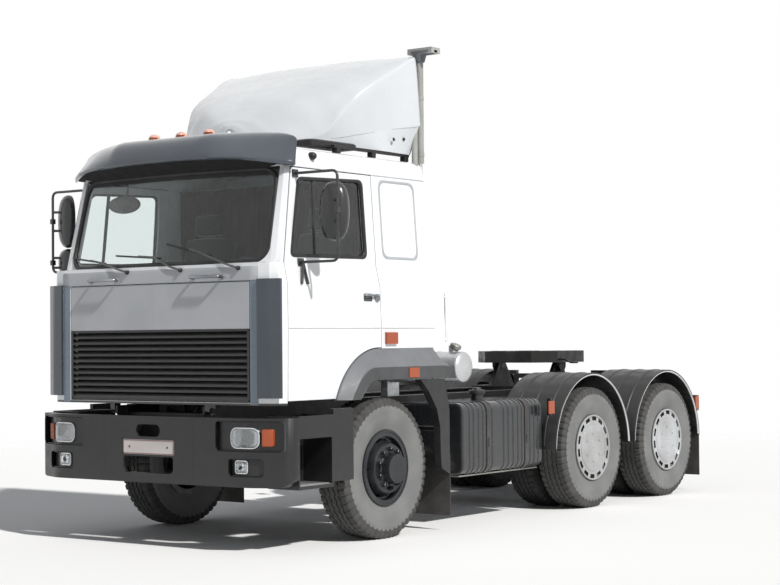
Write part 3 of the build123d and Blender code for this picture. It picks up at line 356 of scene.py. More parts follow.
tank_stations = [(tank_ends[0], -0.03), (tank_ends[0] + 0.003, -0.012), (tank_ends[0] + 0.014, 0.0)]
for rib in tank_ribs:
    tank_stations += [(rib - 0.013, 0.0), (rib - 0.007, 0.006), (rib + 0.007, 0.006),
                      (rib + 0.013, 0.0)]
tank_stations += [(tank_ends[1] - 0.014, 0.0), (tank_ends[1] - 0.003, -0.012),
                  (tank_ends[1], -0.03)]
tank_body = moulded_block(tank_low, tank_high, 0.08, tank_stations)
filler = at(0.95, 1.53, tank_high[1])
filler_neck = turned([(-0.02, 0.052), (0.05, 0.052), (0.052, 0.058), (0.06, 0.058)], filler, 2, 32)
piece("fuel_tank_shell", "chassis", tank_paint, merged(tank_body, filler_neck),
      stands_for=["fuel_tank"])
cap_grip = [(0.058, 0.066), (0.062, 0.070), (0.085, 0.070), (0.092, 0.064), (0.094, 0.04),
            (0.112, 0.030), (0.115, 0.012)]
piece("filler_cap", "chassis", pipe_plastic,
      turned(cap_grip, filler, 2, 24), edge=0.002)
rail_trim = finish_of("rail_trim", (0.60, 0.60, 0.58), (0.48, 0.47, 0.45), rough=0.4, metal=0.6)
piece("tank_foot_rail", "chassis", rail_trim,
      block(1.02, 1.10, 1.03, 2.22, 0.392, 0.404), edge=0.003)
strap_bolts = merged(*[turned([(0.0, 0.006), (0.07, 0.006)], at(1.158, along, 0.62), 2, 10)
                       for along in (1.39, 1.975)])
piece("strap_tees", "chassis", band_steel, strap_bolts)

# ---- Battery box ---------------------------------------------------------------------------------
# Right-hand steel box with a moulded lid held down by two rubber latches, ahead of two long air
# tanks that have welded dished ends and a drain valve below.
lid_plastic = finish_of("lid_plastic", (0.17, 0.17, 0.175), (0.21, 0.21, 0.205), rough=0.55,
                        relief=0.4, grain=500.0, dust=0.3)
lid = merged(block(-1.128, -0.552, 1.017, 1.673, 0.895, 0.962),
             *[block(-1.06, -0.62, along, along + 0.03, 0.962, 0.972)
               for along in (1.10, 1.22, 1.34, 1.46, 1.58)])
piece("battery_lid", "chassis", lid_plastic, lid, edge=0.006)
latches = merged(*[block(-1.138, -1.126, along, along + 0.03, 0.80, 0.93)
                   for along in (1.14, 1.50)])
piece("battery_latches", "chassis", pipe_plastic, latches, edge=0.003)
air_bands = merged(*[turned([(0.0, 0.1405), (0.03, 0.1405)], at(-0.76, along, z), 1, 36)
                     for along in (1.80, 2.08) for z in (0.585, 0.881)])
piece("air_tank_bands", "chassis", band_steel, air_bands, edge=0.001)

# ---- Engine --------------------------------------------------------------------------------------
# Long diesel under the cab with its gearbox behind, grey cast iron. Two ribbed rocker covers run
# along the top, and a moulded fan turns at the nose behind the grille.
cast_iron = finish_of("cast_iron", (0.36, 0.37, 0.38), (0.29, 0.28, 0.27), rough=0.7, relief=0.9,
                      grain=160.0, dust=0.3)
dress(cast_iron, "engine")
soften(0.012, "engine")
cover = merged(*[merged(block(side * 0.19 - 0.11, side * 0.19 + 0.11, -0.86, 0.26, 1.288, 1.318),
                        *[block(side * 0.19 - 0.10, side * 0.19 + 0.10, -0.84 + rib * 0.09,
                                -0.83 + rib * 0.09, 1.318, 1.324) for rib in range(12)])
                 for side in (-1, 1)])
piece("rocker_covers", "chassis", cast_iron, cover, edge=0.005)
fan_z = 0.86
blade_count = 8
fan_blades = []
for number in range(blade_count):
    angle = tau * number / blade_count
    blade = []
    for radius, twist in ((0.06, angle), (0.25, angle + 0.08)):
        for shift, lean in ((0.0, 0.0), (0.35, 0.05)):
            blade.append(at(radius * cos(twist + shift), -0.985 + lean,
                            fan_z + radius * sin(twist + shift)))
    fan_blades.append((blade, [[0, 1, 3, 2]]))
fan_hub = turned([(-1.0, 0.05), (-0.995, 0.07), (-0.93, 0.07)], at(0, 0, fan_z), 1, 24)
fan = piece("cooling_fan", "chassis", pipe_plastic, merged(fan_hub, *fan_blades))
fan.modifiers.new("thick", "SOLIDIFY").thickness = 0.006

# ---- Bumper --------------------------------------------------------------------------------------
# Charcoal bumper moulded in three sections with wrapped ends and pockets for the lamps. Its seams,
# the corner bolts and the blank number plate sit on the face, which is dusty along the foot.
bumper_plastic = finish_of("bumper_plastic", (0.095, 0.099, 0.105), (0.08, 0.083, 0.088),
                           rough=0.38, spread=0.08, relief=0.35, grain=420.0, dust=0.1,
                           dust_top=0.8)
dress(bumper_plastic, "bumper", "step_boxes")
soften(0.006, "bumper")
soften(0.004, "step_boxes")
# Near-black for real gaps, seams and grooves; on the wheel drums and the visor lining it is painted
# shade.
gap_black_and_painted_shade = finish_of("gap_black_and_painted_shade", (0.03, 0.03, 0.03), (0.05, 0.05, 0.05), rough=0.9)
bumper_front = -1.385
seam_y = bumper_front - 0.0035
seam_runs = [[at(side * 0.45, seam_y, 0.478), at(side * 0.45, seam_y, 0.958)] for side in (-1, 1)]
bars("bumper_seams", "chassis", gap_black_and_painted_shade, seam_runs, 0.0018)
corner_bolts = merged(*[bolt_heads([at(side * 1.2475, -1.185, z)], 0.008, 0.0045, 0, side)
                        for side in (-1, 1) for z in (0.62, 0.78)])
piece("bumper_bolts", "chassis", band_steel, corner_bolts)

plate_enamel = finish_of("plate_enamel", (0.82, 0.80, 0.79), (0.76, 0.73, 0.72), rough=0.35,
                         dust=0.25, dust_top=0.9)
plate_rim = finish_of("plate_rim", (0.44, 0.16, 0.17), (0.38, 0.15, 0.15), rough=0.4)
plate_low = (-0.257, 0.680)
plate_high = (0.257, 0.788)
plate_round = 0.012
plate_front = -1.3868
plate_face = moulded_block(plate_low, plate_high, plate_round,
                           ((bumper_front + 0.0004, 0.0), (plate_front, 0.0),
                            (plate_front, -0.006), (plate_front + 0.0006, -0.008)))
piece("number_plate_blank", "chassis", plate_enamel, plate_face)
bars("number_plate_rim", "chassis", plate_rim,
     [[at(x, plate_front - 0.0001, z)
       for x, z in rounded_frame(plate_low, plate_high, plate_round, -0.006)]],
     0.0022, closed=True)
piece("number_plate_bolts", "chassis", band_steel,
      bolt_heads([at(x, plate_front + 0.0002, 0.734) for x in (-0.19, 0.19)], 0.006, 0.003, 1,
                 -1))

# ---- Lamps in the bumper -------------------------------------------------------------------------
# Two black-lined pockets on each side of the bumper. The upper one holds a silvered headlamp bowl
# behind a fluted glass and an amber indicator, and the lower one a smaller fog lamp. The repeaters
# on the cab's sides wear the same amber.
lamp_silver = finish_of("lamp_silver", (0.88, 0.89, 0.90), (0.80, 0.81, 0.82), rough=0.16,
                        spread=0.05, metal=1.0)


def lens_finish(name, tone, flute=90.0, rough=0.06, glow=0.35):
    """Clear moulding with flutes across it."""
    material = bpy.data.materials.new(name)
    material.use_nodes = True
    nodes = material.node_tree.nodes
    link = material.node_tree.links.new
    shader = nodes["Principled BSDF"]
    shader.inputs["Base Color"].default_value = screen_tone(*tone)
    shader.inputs["Roughness"].default_value = rough
    shader.inputs["Transmission Weight"].default_value = glow
    shader.inputs["IOR"].default_value = 1.49
    wave = nodes.new("ShaderNodeTexWave")
    wave.inputs["Scale"].default_value = flute
    wave.inputs["Distortion"].default_value = 0.4
    link(nodes.new("ShaderNodeTexCoord").outputs["Object"], wave.inputs["Vector"])
    bump = nodes.new("ShaderNodeBump")
    bump.inputs["Strength"].default_value = 0.5
    bump.inputs["Distance"].default_value = 0.002
    link(wave.outputs["Fac"], bump.inputs["Height"])
    link(bump.outputs["Normal"], shader.inputs["Normal"])
    return material


head_glass = lens_finish("head_glass", (0.93, 0.95, 0.96), glow=0.8)
amber_lens = lens_finish("amber_lens", (0.66, 0.31, 0.17), flute=60.0, rough=0.22, glow=0.1)
dress(amber_lens, "cab_lamps")
bumper_sweep = 0.441
bend_start = 0.905
bend_reach = 0.105


def bumper_y(x, inset=0.0):
    """Face of the bumper at a distance from the middle, set back by an inset."""
    out = max(0.0, abs(x) - bend_start)
    bend = out * out / (2 * bend_reach) if out < bend_reach else out - bend_reach / 2
    return bumper_front + bumper_sweep * bend + inset


def bumper_patch(low, high, corner, rows):
    """Corner-rounded patch standing along the bumper; rows are (inset, growth)."""
    return rings_to_shape([[at(x, bumper_y(x, inset), z)
                            for x, z in rounded_frame(low, high, corner, grow, 4)]
                           for inset, grow in rows])


def stepped_loop(corners, pitch):
    """Closed run of (x, z) with its long stretches across the truck cut into steps."""
    run = []
    for (x, z), (next_x, next_z) in zip(corners, corners[1:] + corners[:1]):
        pieces = max(1, round(abs(next_x - x) / pitch))
        run += [(x + (next_x - x) * step / pieces, z + (next_z - z) * step / pieces)
                for step in range(pieces)]
    return run


pocket_black = finish_of("pocket_black", (0.02, 0.02, 0.022), (0.03, 0.03, 0.031), rough=0.25)
pocket_edge = finish_of("pocket_edge", (0.30, 0.31, 0.32), (0.24, 0.25, 0.26), rough=0.3)
linings = []
lining_half = 0.002
pocket_floor = 0.033
pocket_lip = 0.006
lining_section = ((pocket_lip, -lining_half), (pocket_lip, lining_half), (0.034, lining_half),
                  (0.034, -lining_half))
for x0, x1, z0, z1 in ((0.664, 1.196, 0.729, 0.936), (0.784, 1.066, 0.554, 0.671)):
    stations = [x0 + (x1 - x0) * step / 12 for step in range(13)]
    linings.append(rings_to_shape([[at(x, bumper_y(x, deep), z) for deep, z in
                                    ((pocket_floor, z0), (pocket_floor, z1), (0.040, z1),
                                     (0.040, z0))] for x in stations]))
    for z in (z0 + lining_half, z1 - lining_half):
        linings.append(rings_to_shape([[at(x, bumper_y(x, deep), z + lift)
                                        for deep, lift in lining_section] for x in stations]))
    for x in (x0 + lining_half, x1 - lining_half):
        linings.append(rings_to_shape([[at(x + lift, bumper_y(x, deep), z)
                                        for deep, lift in lining_section] for z in (z0, z1)]))
piece("lamp_pockets", "chassis", pocket_black, both_sides(merged(*linings)))
edge_runs = []
for low, high, corner in (((0.652, 0.717), (1.208, 0.948), 0.040),
                          ((0.774, 0.544), (1.076, 0.681), 0.030)):
    loop = stepped_loop(rounded_frame(low, high, corner), 0.04)
    edge_runs += [[at(side * x, bumper_y(x, -0.001), z) for x, z in loop] for side in (-1, 1)]
bars("lamp_pocket_edges", "chassis", pocket_edge, edge_runs, 0.004, closed=True)
lamp_faces = ((0.792, 1.022, 0.752, 0.888, 0.045), (0.832, 0.936, 0.576, 0.658, 0.015))
bowls = []
lenses = []
for x0, x1, z0, z1, corner in lamp_faces:
    bowls.append(bumper_patch((x0, z0), (x1, z1), corner,
                              ((0.032, 0.006), (0.016, 0.006), (0.016, 0.0), (0.024, -0.008),
                               (0.030, -0.03))))
    lenses.append(bumper_patch((x0, z0), (x1, z1), corner,
                               ((0.022, 0.0), (0.014, 0.0), (0.009, -0.008), (0.006, -0.022),
                                (0.005, -0.036))))
piece("lamp_bowls", "chassis", lamp_silver, both_sides(merged(*bowls)))
piece("lamp_glasses", "chassis", head_glass, both_sides(merged(*lenses)),
      stands_for=["clear_lamps"])
indicator = bumper_patch((1.046, 0.762), (1.118, 0.884), 0.010,
                         ((0.033, 0.0), (0.012, 0.0), (0.008, -0.004)))
lamp_back = 5.1802
tail_amber = moulded_block((1.085, 0.784), (1.164, 0.916), 0.008,
                           ((5.104, 0.0), (5.1785, 0.0), (lamp_back, -0.003)))
piece("indicator_lenses", "chassis", amber_lens,
      both_sides(merged(indicator, tail_amber)), stands_for=["signal_lamps"])

# ---- Cab steps -----------------------------------------------------------------------------------
# Bright aluminium tread on the floor of each step box, where a boot lands. Its ribs are pressed up
# from the sheet for grip.
tread_metal = finish_of("tread_metal", (0.72, 0.73, 0.73), (0.58, 0.57, 0.55), rough=0.35,
                        metal=0.85, dust=0.2, dust_top=0.6)
tread = merged(block(0.985, 1.236, -1.145, -0.795, 0.4775, 0.481),
               *[block(0.995 + rib * 0.027, 1.007 + rib * 0.027, -1.135, -0.805, 0.481, 0.487)
                 for rib in range(9)])
piece("step_treads", "chassis", tread_metal, both_sides(tread), edge=0.0015)

# ---- Tyres ---------------------------------------------------------------------------------------
# Road tyres in 11.00R20 size: blocky shoulders cut across by slots, zigzag grooves round the crown
# and a bulging side wall with a raised rim ring. The outer tyres are greyed by dust; the inner tyres
# of the driven pairs are painted near-black as the shade between the pair.
tyre_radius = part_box("tyre_front_left")[1][2] - axle_height
# Tread rubber darker than the walls: partly its own colour, partly painted shade of the guards over
# the treads.
tread_rubber = finish_of("tread_rubber", (0.235, 0.235, 0.23), (0.29, 0.287, 0.283), patch=14.0,
                         rough=0.85, relief=0.6, grain=260.0)
wall_rubber = finish_of("wall_rubber", (0.415, 0.42, 0.42), (0.47, 0.47, 0.465), patch=5.0,
                        rough=0.7, relief=0.4, grain=120.0)
# Near-black rubber for the inner tyre of each driven pair: painted shade between the pair.
inner_tyre_painted_shade = finish_of("inner_tyre_painted_shade", (0.10, 0.10, 0.10), (0.14, 0.14, 0.138), patch=5.0,
                         rough=0.8, relief=0.4, grain=120.0)
# half of the section from bead to crown: offset from the middle, radius, how deep a slot cuts here
half_tyre = ((0.100, 0.256, 0), (0.116, 0.290, 0), (0.122, 0.296, 0), (0.124, 0.304, 0),
             (0.134, 0.330, 0), (0.144, 0.365, 0), (0.147, 0.400, 0), (0.1445, 0.432, 0),
             (0.1455, 0.436, 0), (0.1445, 0.441, 0), (0.142, 0.458, 0.2), (0.138, 0.472, 1),
             (0.133, 0.496, 1), (0.126, 0.516, 1), (0.118, 0.527, 1), (0.096, 0.5305, 1),
             (0.078, 0.5315, 0.6), (0.072, 0.5315, 0.2))
crown = ((0.070, -1), (0.060, -1), (0.0585, 0), (0.030, 0), (0.0285, -1), (0.0185, -1),
         (0.017, 0), (0.0, 0))
lugs = 54
beats = 4


def closed_skin(rings):
    """Skin over closed rings that follow each other round an axle, back to the first."""
    count = len(rings[0])
    points = [point for ring in rings for point in ring]
    faces = []
    for row in range(len(rings)):
        below = row * count
        above = (row + 1) % len(rings) * count
        for step in range(count):
            after = (step + 1) % count
            faces.append([below + step, below + after, above + after, above + step])
    return points, faces


def tyre_shape(middle):
    """One tyre about the axle, with its middle at an offset along it."""
    side = [(u, r, cut, 0) for u, r, cut in half_tyre]
    side += [(u, tyre_radius - (0.011 if low else 0.0), 0, 1) for u, low in crown]
    across = side + [(-u, r, cut, zig) for u, r, cut, zig in reversed(side[:-1])]
    rings = []
    for step in range(lugs * beats):
        angle = tau * step / (lugs * beats)
        phase = step % beats
        slotted = phase == 0
        zigzag = 0.005 if (step // 2) % 2 else -0.005
        ring = []
        for u, r, cut, zig in across:
            flat = r - (0.013 * cut if slotted else 0.0)
            shift = zigzag if zig and abs(u) < 0.071 else 0.0
            inward = -0.004 * cut * (1 if u > 0 else -1) if slotted else 0.0
            ring.append((middle + u + shift + inward, flat * cos(angle), flat * sin(angle)))
        rings.append(ring)
    return closed_skin(rings)


def placed(shape, x, along):
    """Sets a shape made about the origin on an axle."""
    return [at(px + x, py + along, pz + axle_height) for px, py, pz in shape[0]], shape[1]


shoulder = 0.468
twin = (-0.168, 0.168)
# distance behind the front axle, middles of the tyres on a hub, hub's distance from the middle
wheel_spots = {name: (along, middles, abs(joint_place["spin_" + name + "_left"][0]))
               for name, along, middles in (("front", 0.0, (0.0,)), ("middle", axle_spots[1], twin),
                                            ("rear", axle_spots[2], twin))}
for name, (along, middles, track) in wheel_spots.items():
    for side, way in sides:
        shape = placed(merged(*[tyre_shape(middle) for middle in middles]), way * track, along)
        node = ("tyre_" if name == "front" else "tyres_") + name + "_" + side
        tyre = piece(node + "_tread", "wheel_" + name + "_" + side,
                     [wall_rubber, tread_rubber, inner_tyre_painted_shade], shape, sharp=28.0,
                     stands_for=[node])
        hub = Vector(at(0, along, axle_height))
        for face in tyre.data.polygons:
            offset = face.center - hub
            # Inner tyres of a pair get the painted-shade rubber; the rest split into wall and tread.
            if len(middles) > 1 and abs(face.center.x) < track:
                face.material_index = 2
            else:
                face.material_index = int(hypot(offset.y, offset.z) > shoulder)

# ---- Wheels --------------------------------------------------------------------------------------
# Pressed steel wheels. The steered pair is dark and dished outwards, with ten studs and nuts round
# the hub cap; each driven pair wears a silver pressed cover with a ring of slots and six bolts.
rim_paint = finish_of("rim_paint", (0.17, 0.18, 0.195), (0.24, 0.245, 0.255), rough=0.28,
                      spread=0.12, relief=0.25, grain=60.0, metal=0.45)
cover_silver = finish_of("cover_silver", (0.76, 0.77, 0.78), (0.66, 0.66, 0.655), rough=0.34,
                         metal=0.55, relief=0.15, grain=40.0)
dress(rim_paint, "rim_front_left", "rim_front_right")
stud_count = 10
stud_circle = 0.147


def about_axle(x, along, radius, angle):
    """Point at a radius and an angle about an axle."""
    return at(x, along + radius * cos(angle), axle_height + radius * sin(angle))


def ringed(radius, x, thick, along, way, steps=72):
    """Round bead about the axle at an offset."""
    turns = [tau * part / 8 for part in range(8)]
    return closed_skin([[about_axle(way * (x + thick * sin(turn)), along,
                                    radius + thick * cos(turn), tau * step / steps)
                         for turn in turns] for step in range(steps)])


cover_slots = 14
# radius and offset of the pressed cover, from its rolled edge inwards; the slots lie in row 2
cover_rows = ((0.286, 1.224), (0.286, 1.234), (0.272, 1.2365), (0.238, 1.2385), (0.212, 1.2385),
              (0.204, 1.2430), (0.150, 1.2430), (0.090, 1.2400), (0.030, 1.2400), (0.004, 1.2400))
cover_back = 1.2255
cover_bolts = 6
bolt_circle = 0.122
slot_row = 2
slot_beats = 8
open_beats = 5


def slotted_cover(along, way):
    """Pressed cover with a ring of long slots near its edge."""
    steps = cover_slots * slot_beats
    points, faces = rings_to_shape([[about_axle(way * out, along, radius, tau * step / steps)
                                     for step in range(steps)] for radius, out in cover_rows],
                                   caps=False)
    return points, [face for number, face in enumerate(faces)
                    if number // steps != slot_row or number % slot_beats >= open_beats]


for side, way in sides:
    nuts = []
    for number in range(stud_count):
        spot = about_axle(way * 1.1715, 0, stud_circle, tau * (number + 0.5) / stud_count)
        nuts.append(turned([(0.0, 0.021), (way * 0.004, 0.021)], spot, 0, 16))
        nuts.append(turned([(way * 0.004, 0.0165), (way * 0.024, 0.0165), (way * 0.027, 0.013)],
                           spot, 0, 6))
        nuts.append(turned([(way * 0.024, 0.009), (way * 0.038, 0.0085)], spot, 0, 12))
    piece("wheel_nuts_" + side, "wheel_front_" + side, rim_paint, merged(*nuts))
    hub = [(way * u, r) for u, r in ((1.172, 0.116), (1.200, 0.114), (1.210, 0.108),
                                     (1.236, 0.104), (1.243, 0.098), (1.2445, 0.070),
                                     (1.2405, 0.066), (1.240, 0.01))]
    piece("hub_cap_" + side, "wheel_front_" + side, rim_paint,
          turned(hub, at(0, 0, axle_height), 0, 48), edge=0.0015)
    lock_rings = merged(ringed(0.278, 1.1345, 0.006, 0, way), ringed(0.098, 1.238, 0.004, 0, way))
    piece("lock_ring_" + side, "wheel_front_" + side, rim_paint, lock_rings)
    for name in ("middle", "rear"):
        along = wheel_spots[name][0]
        rings = [ringed(0.281, 1.236, 0.009, along, way), ringed(0.207, 1.2405, 0.004, along, way)]
        cover = slotted_cover(along, way)
        bolts = []
        for number in range(cover_bolts):
            spot = about_axle(0, along, bolt_circle, tau * (number + 0.5) / cover_bolts)
            bolts.append(turned([(way * 1.238, 0.013), (way * 1.246, 0.013),
                                 (way * 1.2485, 0.008)], spot, 0, 12))
        node = "rim_" + name + "_" + side
        inner = abs(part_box(node)[0 if way > 0 else 1][0])
        # Near-black drum inside each driven wheel: painted shade seen through the cover's slots.
        drum = turned([(way * inner, 0.20), (way * inner, 0.258), (way * 1.224, 0.262)],
                      at(0, along, axle_height), 0, 48)
        wheel = piece("wheel_cover_" + name + "_" + side, "wheel_" + name + "_" + side,
                      [cover_silver, gap_black_and_painted_shade], merged(cover, drum, *rings, *bolts),
                      stands_for=[node])
        # Faces behind the cover take the near-black painted shade.
        for face in wheel.data.polygons:
            face.material_index = int(abs(face.center.x) < cover_back)

# ---- Rear mudguards ------------------------------------------------------------------------------
# Half-round moulded guards over each driven pair with a pale rolled lip, rubber flaps behind the
# last pair and behind the steered wheels, and an amber reflector ahead of the first guard.
guard_plastic = finish_of("guard_plastic", (0.095, 0.10, 0.106), (0.125, 0.128, 0.132), rough=0.42,
                          relief=0.4, grain=220.0, dust=0.1)
flap_rubber = finish_of("flap_rubber", (0.13, 0.13, 0.13), (0.19, 0.185, 0.175), rough=0.8,
                        relief=0.5, grain=80.0, dust=0.25)
lip_trim = finish_of("lip_trim", (0.84, 0.845, 0.85), (0.76, 0.76, 0.755), rough=0.35)
dress(guard_plastic, "rear_mudguards", "wheel_strips")
dress(flap_rubber, "mud_flaps")
soften(0.003, "rear_mudguards", "wheel_strips", "mud_flaps")
lip_radius = 0.645
lip_runs = [[about_axle(side * 1.2405, along, lip_radius, radians(2 + 4 * step))
             for step in range(45)] for side in (-1, 1) for along in axle_spots[1:]]
bars("guard_lips", "chassis", lip_trim, lip_runs, 0.0085)
rib_section = ((-0.02, 0.659), (-0.012, 0.665), (0.012, 0.665), (0.02, 0.659))
guard_ribs = []
for side in (-1, 1):
    for along in axle_spots[1:]:
        for x in (0.78, 0.95, 1.12):
            guard_ribs.append(rings_to_shape(
                [[about_axle(side * (x + dx), along, radius, radians(4 + step * 172 / 36))
                  for dx, radius in rib_section] for step in range(37)]))
piece("guard_ribs", "chassis", guard_plastic, merged(*guard_ribs))
side_reflectors = merged(block(1.215, 1.235, 2.235, 2.262, 0.84, 0.99),
                         block(1.19, 1.216, 2.245, 2.262, 0.84, 0.99))
piece("reflector_brackets", "chassis", guard_plastic,
      both_sides(side_reflectors), edge=0.003)
piece("side_reflectors", "chassis", amber_lens,
      both_sides(block(1.235, 1.2475, 2.19, 2.285, 0.855, 0.965)), edge=0.004)

# ---- Tail lamps ----------------------------------------------------------------------------------
# A long moulded lamp on each end of the tail bar: a red lens beside the amber end made with the
# indicators, and a clear one inside, in a black housing with lids over the amber end.
red_lens = lens_finish("red_lens", (0.72, 0.10, 0.09), flute=60.0, rough=0.15, glow=0.1)
housing = moulded_block((0.856, 0.776), (1.090, 0.924), 0.012,
                        ((5.097, 0.0), (5.172, 0.0), (5.172, 0.004), (5.178, 0.004),
                         (5.178, -0.004)))
piece("tail_lamp_housings", "chassis", guard_plastic, both_sides(housing))
for name, lens, x0, x1 in (("red", red_lens, 0.95, 1.080), ("clear", head_glass, 0.862, 0.946)):
    lens_block = moulded_block((x0, 0.784), (x1, 0.916), 0.008,
                               ((5.170, 0.0), (5.1795, 0.0), (lamp_back, -0.003)))
    piece("tail_lens_" + name, "chassis", lens, both_sides(lens_block))
lamp_lids = merged(block(1.086, 1.166, 5.10, 5.172, 0.918, 0.926),
                   block(1.086, 1.166, 5.10, 5.172, 0.774, 0.782))
piece("tail_lamp_lids", "chassis", guard_plastic, both_sides(lamp_lids))

# ---- Reservoir -----------------------------------------------------------------------------------
# Polished aluminium reservoir lying across the frame behind the cab, with dished ends, two bands
# and two screw caps along its top, the outer one standing at a slant.
polished = finish_of("polished", (0.80, 0.81, 0.82), (0.70, 0.70, 0.70), rough=0.3, spread=0.1,
                     metal=0.8, relief=0.12, grain=30.0)
dress(polished, "reservoir")
soften(0.004, "reservoir")
tank_along = 1.07
tank_middle = 1.275
dome = [(1.118, 0.125), (1.124, 0.1245), (1.136, 0.117), (1.146, 0.10), (1.152, 0.07),
        (1.1545, 0.03), (1.155, 0.004)]
inner_dome = [(0.302, 0.125), (0.294, 0.12), (0.284, 0.10), (0.278, 0.06), (0.276, 0.004)]
reservoir_middle = at(0, tank_along, tank_middle)
bands = merged(*[turned([(x, 0.1265), (x + 0.004, 0.1285), (x + 0.026, 0.1285), (x + 0.03, 0.1265)],
                        reservoir_middle, 0, 48) for x in (0.42, 0.88)])
piece("reservoir_ends", "chassis", polished,
      merged(turned(dome, reservoir_middle, 0, 48), turned(inner_dome, reservoir_middle, 0, 48),
             bands))
cap_rows = [(0.165, 0.041), (0.17, 0.047), (0.192, 0.047), (0.199, 0.04), (0.201, 0.008)]
slant = Matrix.Rotation(radians(22), 4, "Y")
slanted = turned([(0.100, 0.030), (0.150, 0.030)] + cap_rows, (0.0, 0.0, 0.0), 2, 20)
slanted = [tuple(slant @ Vector(point) + Vector(at(0.985, tank_along, tank_middle)))
           for point in slanted[0]], slanted[1]
caps = merged(slanted, turned(cap_rows, at(0.79, tank_along, tank_middle), 2, 20))
piece("reservoir_caps", "chassis", rail_trim, caps, edge=0.0015)

# ---- Fifth wheel ---------------------------------------------------------------------------------
# Cast coupling plate on a rocking pivot, black and greasy where the trailer rubs. Grease grooves
# curve across it, a wear ring lies round the kingpin bore, and a pull handle leaves on the left.
plate_grease = finish_of("plate_grease", (0.03, 0.03, 0.03), (0.055, 0.052, 0.048), rough=0.42,
                         spread=0.18, relief=0.5, grain=40.0)
dress(plate_grease, "fifth_wheel_plate")
soften(0.006, "fifth_wheel_plate")
soften(0.004, "fifth_wheel_base")
plate_top = 1.3801
kingpin_along = 3.80
groove_runs = []
for side in (-1, 1):
    for reach in (0.20, 0.30):
        groove_runs.append([at(side * (0.06 + reach * sin(t)),
                               kingpin_along - 0.26 + reach * 1.1 * (1 - cos(t)), plate_top)
                            for t in [step * pi / 24 for step in range(13)]])
bars("grease_grooves", "fifth_wheel", gap_black_and_painted_shade, groove_runs, 0.0025)
ring_points = [at(0.062 * cos(t), kingpin_along + 0.062 * sin(t), plate_top) for t in
               [tau * step / 36 for step in range(36)]]
bars("wear_ring", "fifth_wheel", gap_black_and_painted_shade, [ring_points], 0.002, closed=True)
pull = bent([at(0.42, 3.70, 1.30), at(0.52, 3.70, 1.30), at(0.56, 3.72, 1.27),
             at(0.60, 3.72, 1.27), at(0.60, 3.79, 1.27), at(0.56, 3.79, 1.27)], 0.02)
bars("pull_handle", "fifth_wheel", plate_grease, [pull], 0.009)

# ---- Cab shell and doors -------------------------------------------------------------------------
# Welded steel cab in gloss white, slightly cool, with dust along the sills and black underseal at
# its foot. A pressed blank panel stands where the sleeper's side window would be, and rubber seals
# fill the door gaps.
cab_white, shell_white = [finish_of(name, (0.93, 0.94, 0.95), (0.905, 0.915, 0.925), rough=0.28,
                                    spread=0.05, relief=0.05, grain=30.0, coat=0.5, dust=0.12,
                                    dust_top=1.5, sealed=foot)
                          for name, foot in (("cab_white", 0.0), ("shell_white", 1.062))]
floor_lining = finish_of("floor_lining", (0.15, 0.15, 0.155), (0.12, 0.12, 0.12), rough=0.8)
dress(cab_white, "roof_cap", "door_left", "door_right", "side_fairings")
dress(shell_white, "cab_shell")
dress(floor_lining, "cab_floor")
soften(0.004, "cab_shell", "door_left", "door_right", "side_fairings")
seal_rubber = finish_of("seal_rubber", (0.085, 0.085, 0.09), (0.12, 0.12, 0.12), rough=0.6)
waist_z = 1.590
# height, outer face of the cab side
side_profile = ((1.000, 1.150), (waist_z, 1.150), (1.900, 1.138), (2.050, 1.102), (2.755, 1.052))


def side_x(z):
    """Outer face of the cab side at a height."""
    for (low, near), (high, far) in zip(side_profile, side_profile[1:]):
        if z <= high:
            return near + (far - near) * (z - low) / (high - low)
    return side_profile[-1][1]


def on_side(along, z, out=0.0, side=1):
    """Point on the cab side, standing off it."""
    return at(side * (side_x(z) + out), along, z)


def side_frame(corners, radius, rows, side=1):
    """Raised band round a corner-rounded four-sided outline on the cab side.
    corners are (along, z); rows are (distance in from the outline, height off the panel)."""
    middle = Vector((sum(c[0] for c in corners) / 4, sum(c[1] for c in corners) / 4))
    rings = []
    for inset, out in rows:
        moved = []
        for along, z in corners:
            away = Vector((along, z)) - middle
            moved.append((along - inset * (1 if away.x > 0 else -1), z - inset *
                          (1 if away.y > 0 else -1), 0.0))
        loop = bent(moved, radius, 6, closed=True)
        rings.append([on_side(*spot[:2], out, side) for spot in loop])
    return rings_to_shape(rings, caps=False)


# Grey painted shade on the sleeper pressing's band and along the waist and door creases of the white
# cab.
crease_shade = finish_of("crease_shade", (0.70, 0.715, 0.73), (0.66, 0.675, 0.69), rough=0.4)
sleeper_corners = ((0.028, 2.115), (0.500, 2.115), (0.500, 2.725), (0.028, 2.725))
pressed = ((0.0, 0.0), (0.004, 0.004), (0.016, 0.0045), (0.022, 0.0005))
for side, way in sides:
    piece("sleeper_pressing_" + side, "cab", crease_shade,
          side_frame(sleeper_corners, 0.07, pressed, way))
    crease = [on_side(along, waist_z, 0.0005, way) for along in (-0.054, 0.637)]
    bars("waist_crease_" + side, "cab", crease_shade, [crease], 0.003)
    door_crease = [on_side(along, waist_z, 0.0005, way) for along in (-1.155, -0.072)]
    bars("door_crease_" + side, "door_" + side, crease_shade, [door_crease], 0.003)
    seal_run = [on_side(along, z, -0.010, way) for along, z in
                ((-1.004, 2.748), (-1.145, 2.051), (-1.155, 1.900), (-1.162, 1.590),
                 (-1.170, 1.078))]
    rear_run = [on_side(along, z, -0.010, way) for along, z in
                ((-0.063, 1.447), (-0.063, 1.590), (-0.060, 1.900), (-0.059, 2.050),
                 (-0.057, 2.748))]
    top_run = [on_side(along, 2.751, -0.012, way) for along in (-1.00, -0.06)]
    bars("door_seal_" + side, "cab", seal_rubber, [seal_run, rear_run, top_run],
         0.0036)
    drip = [on_side(along, 2.757, 0.004, way) for along in (-0.97, 0.637)]
    bars("drip_rail_" + side, "cab", cab_white, [drip], 0.006)

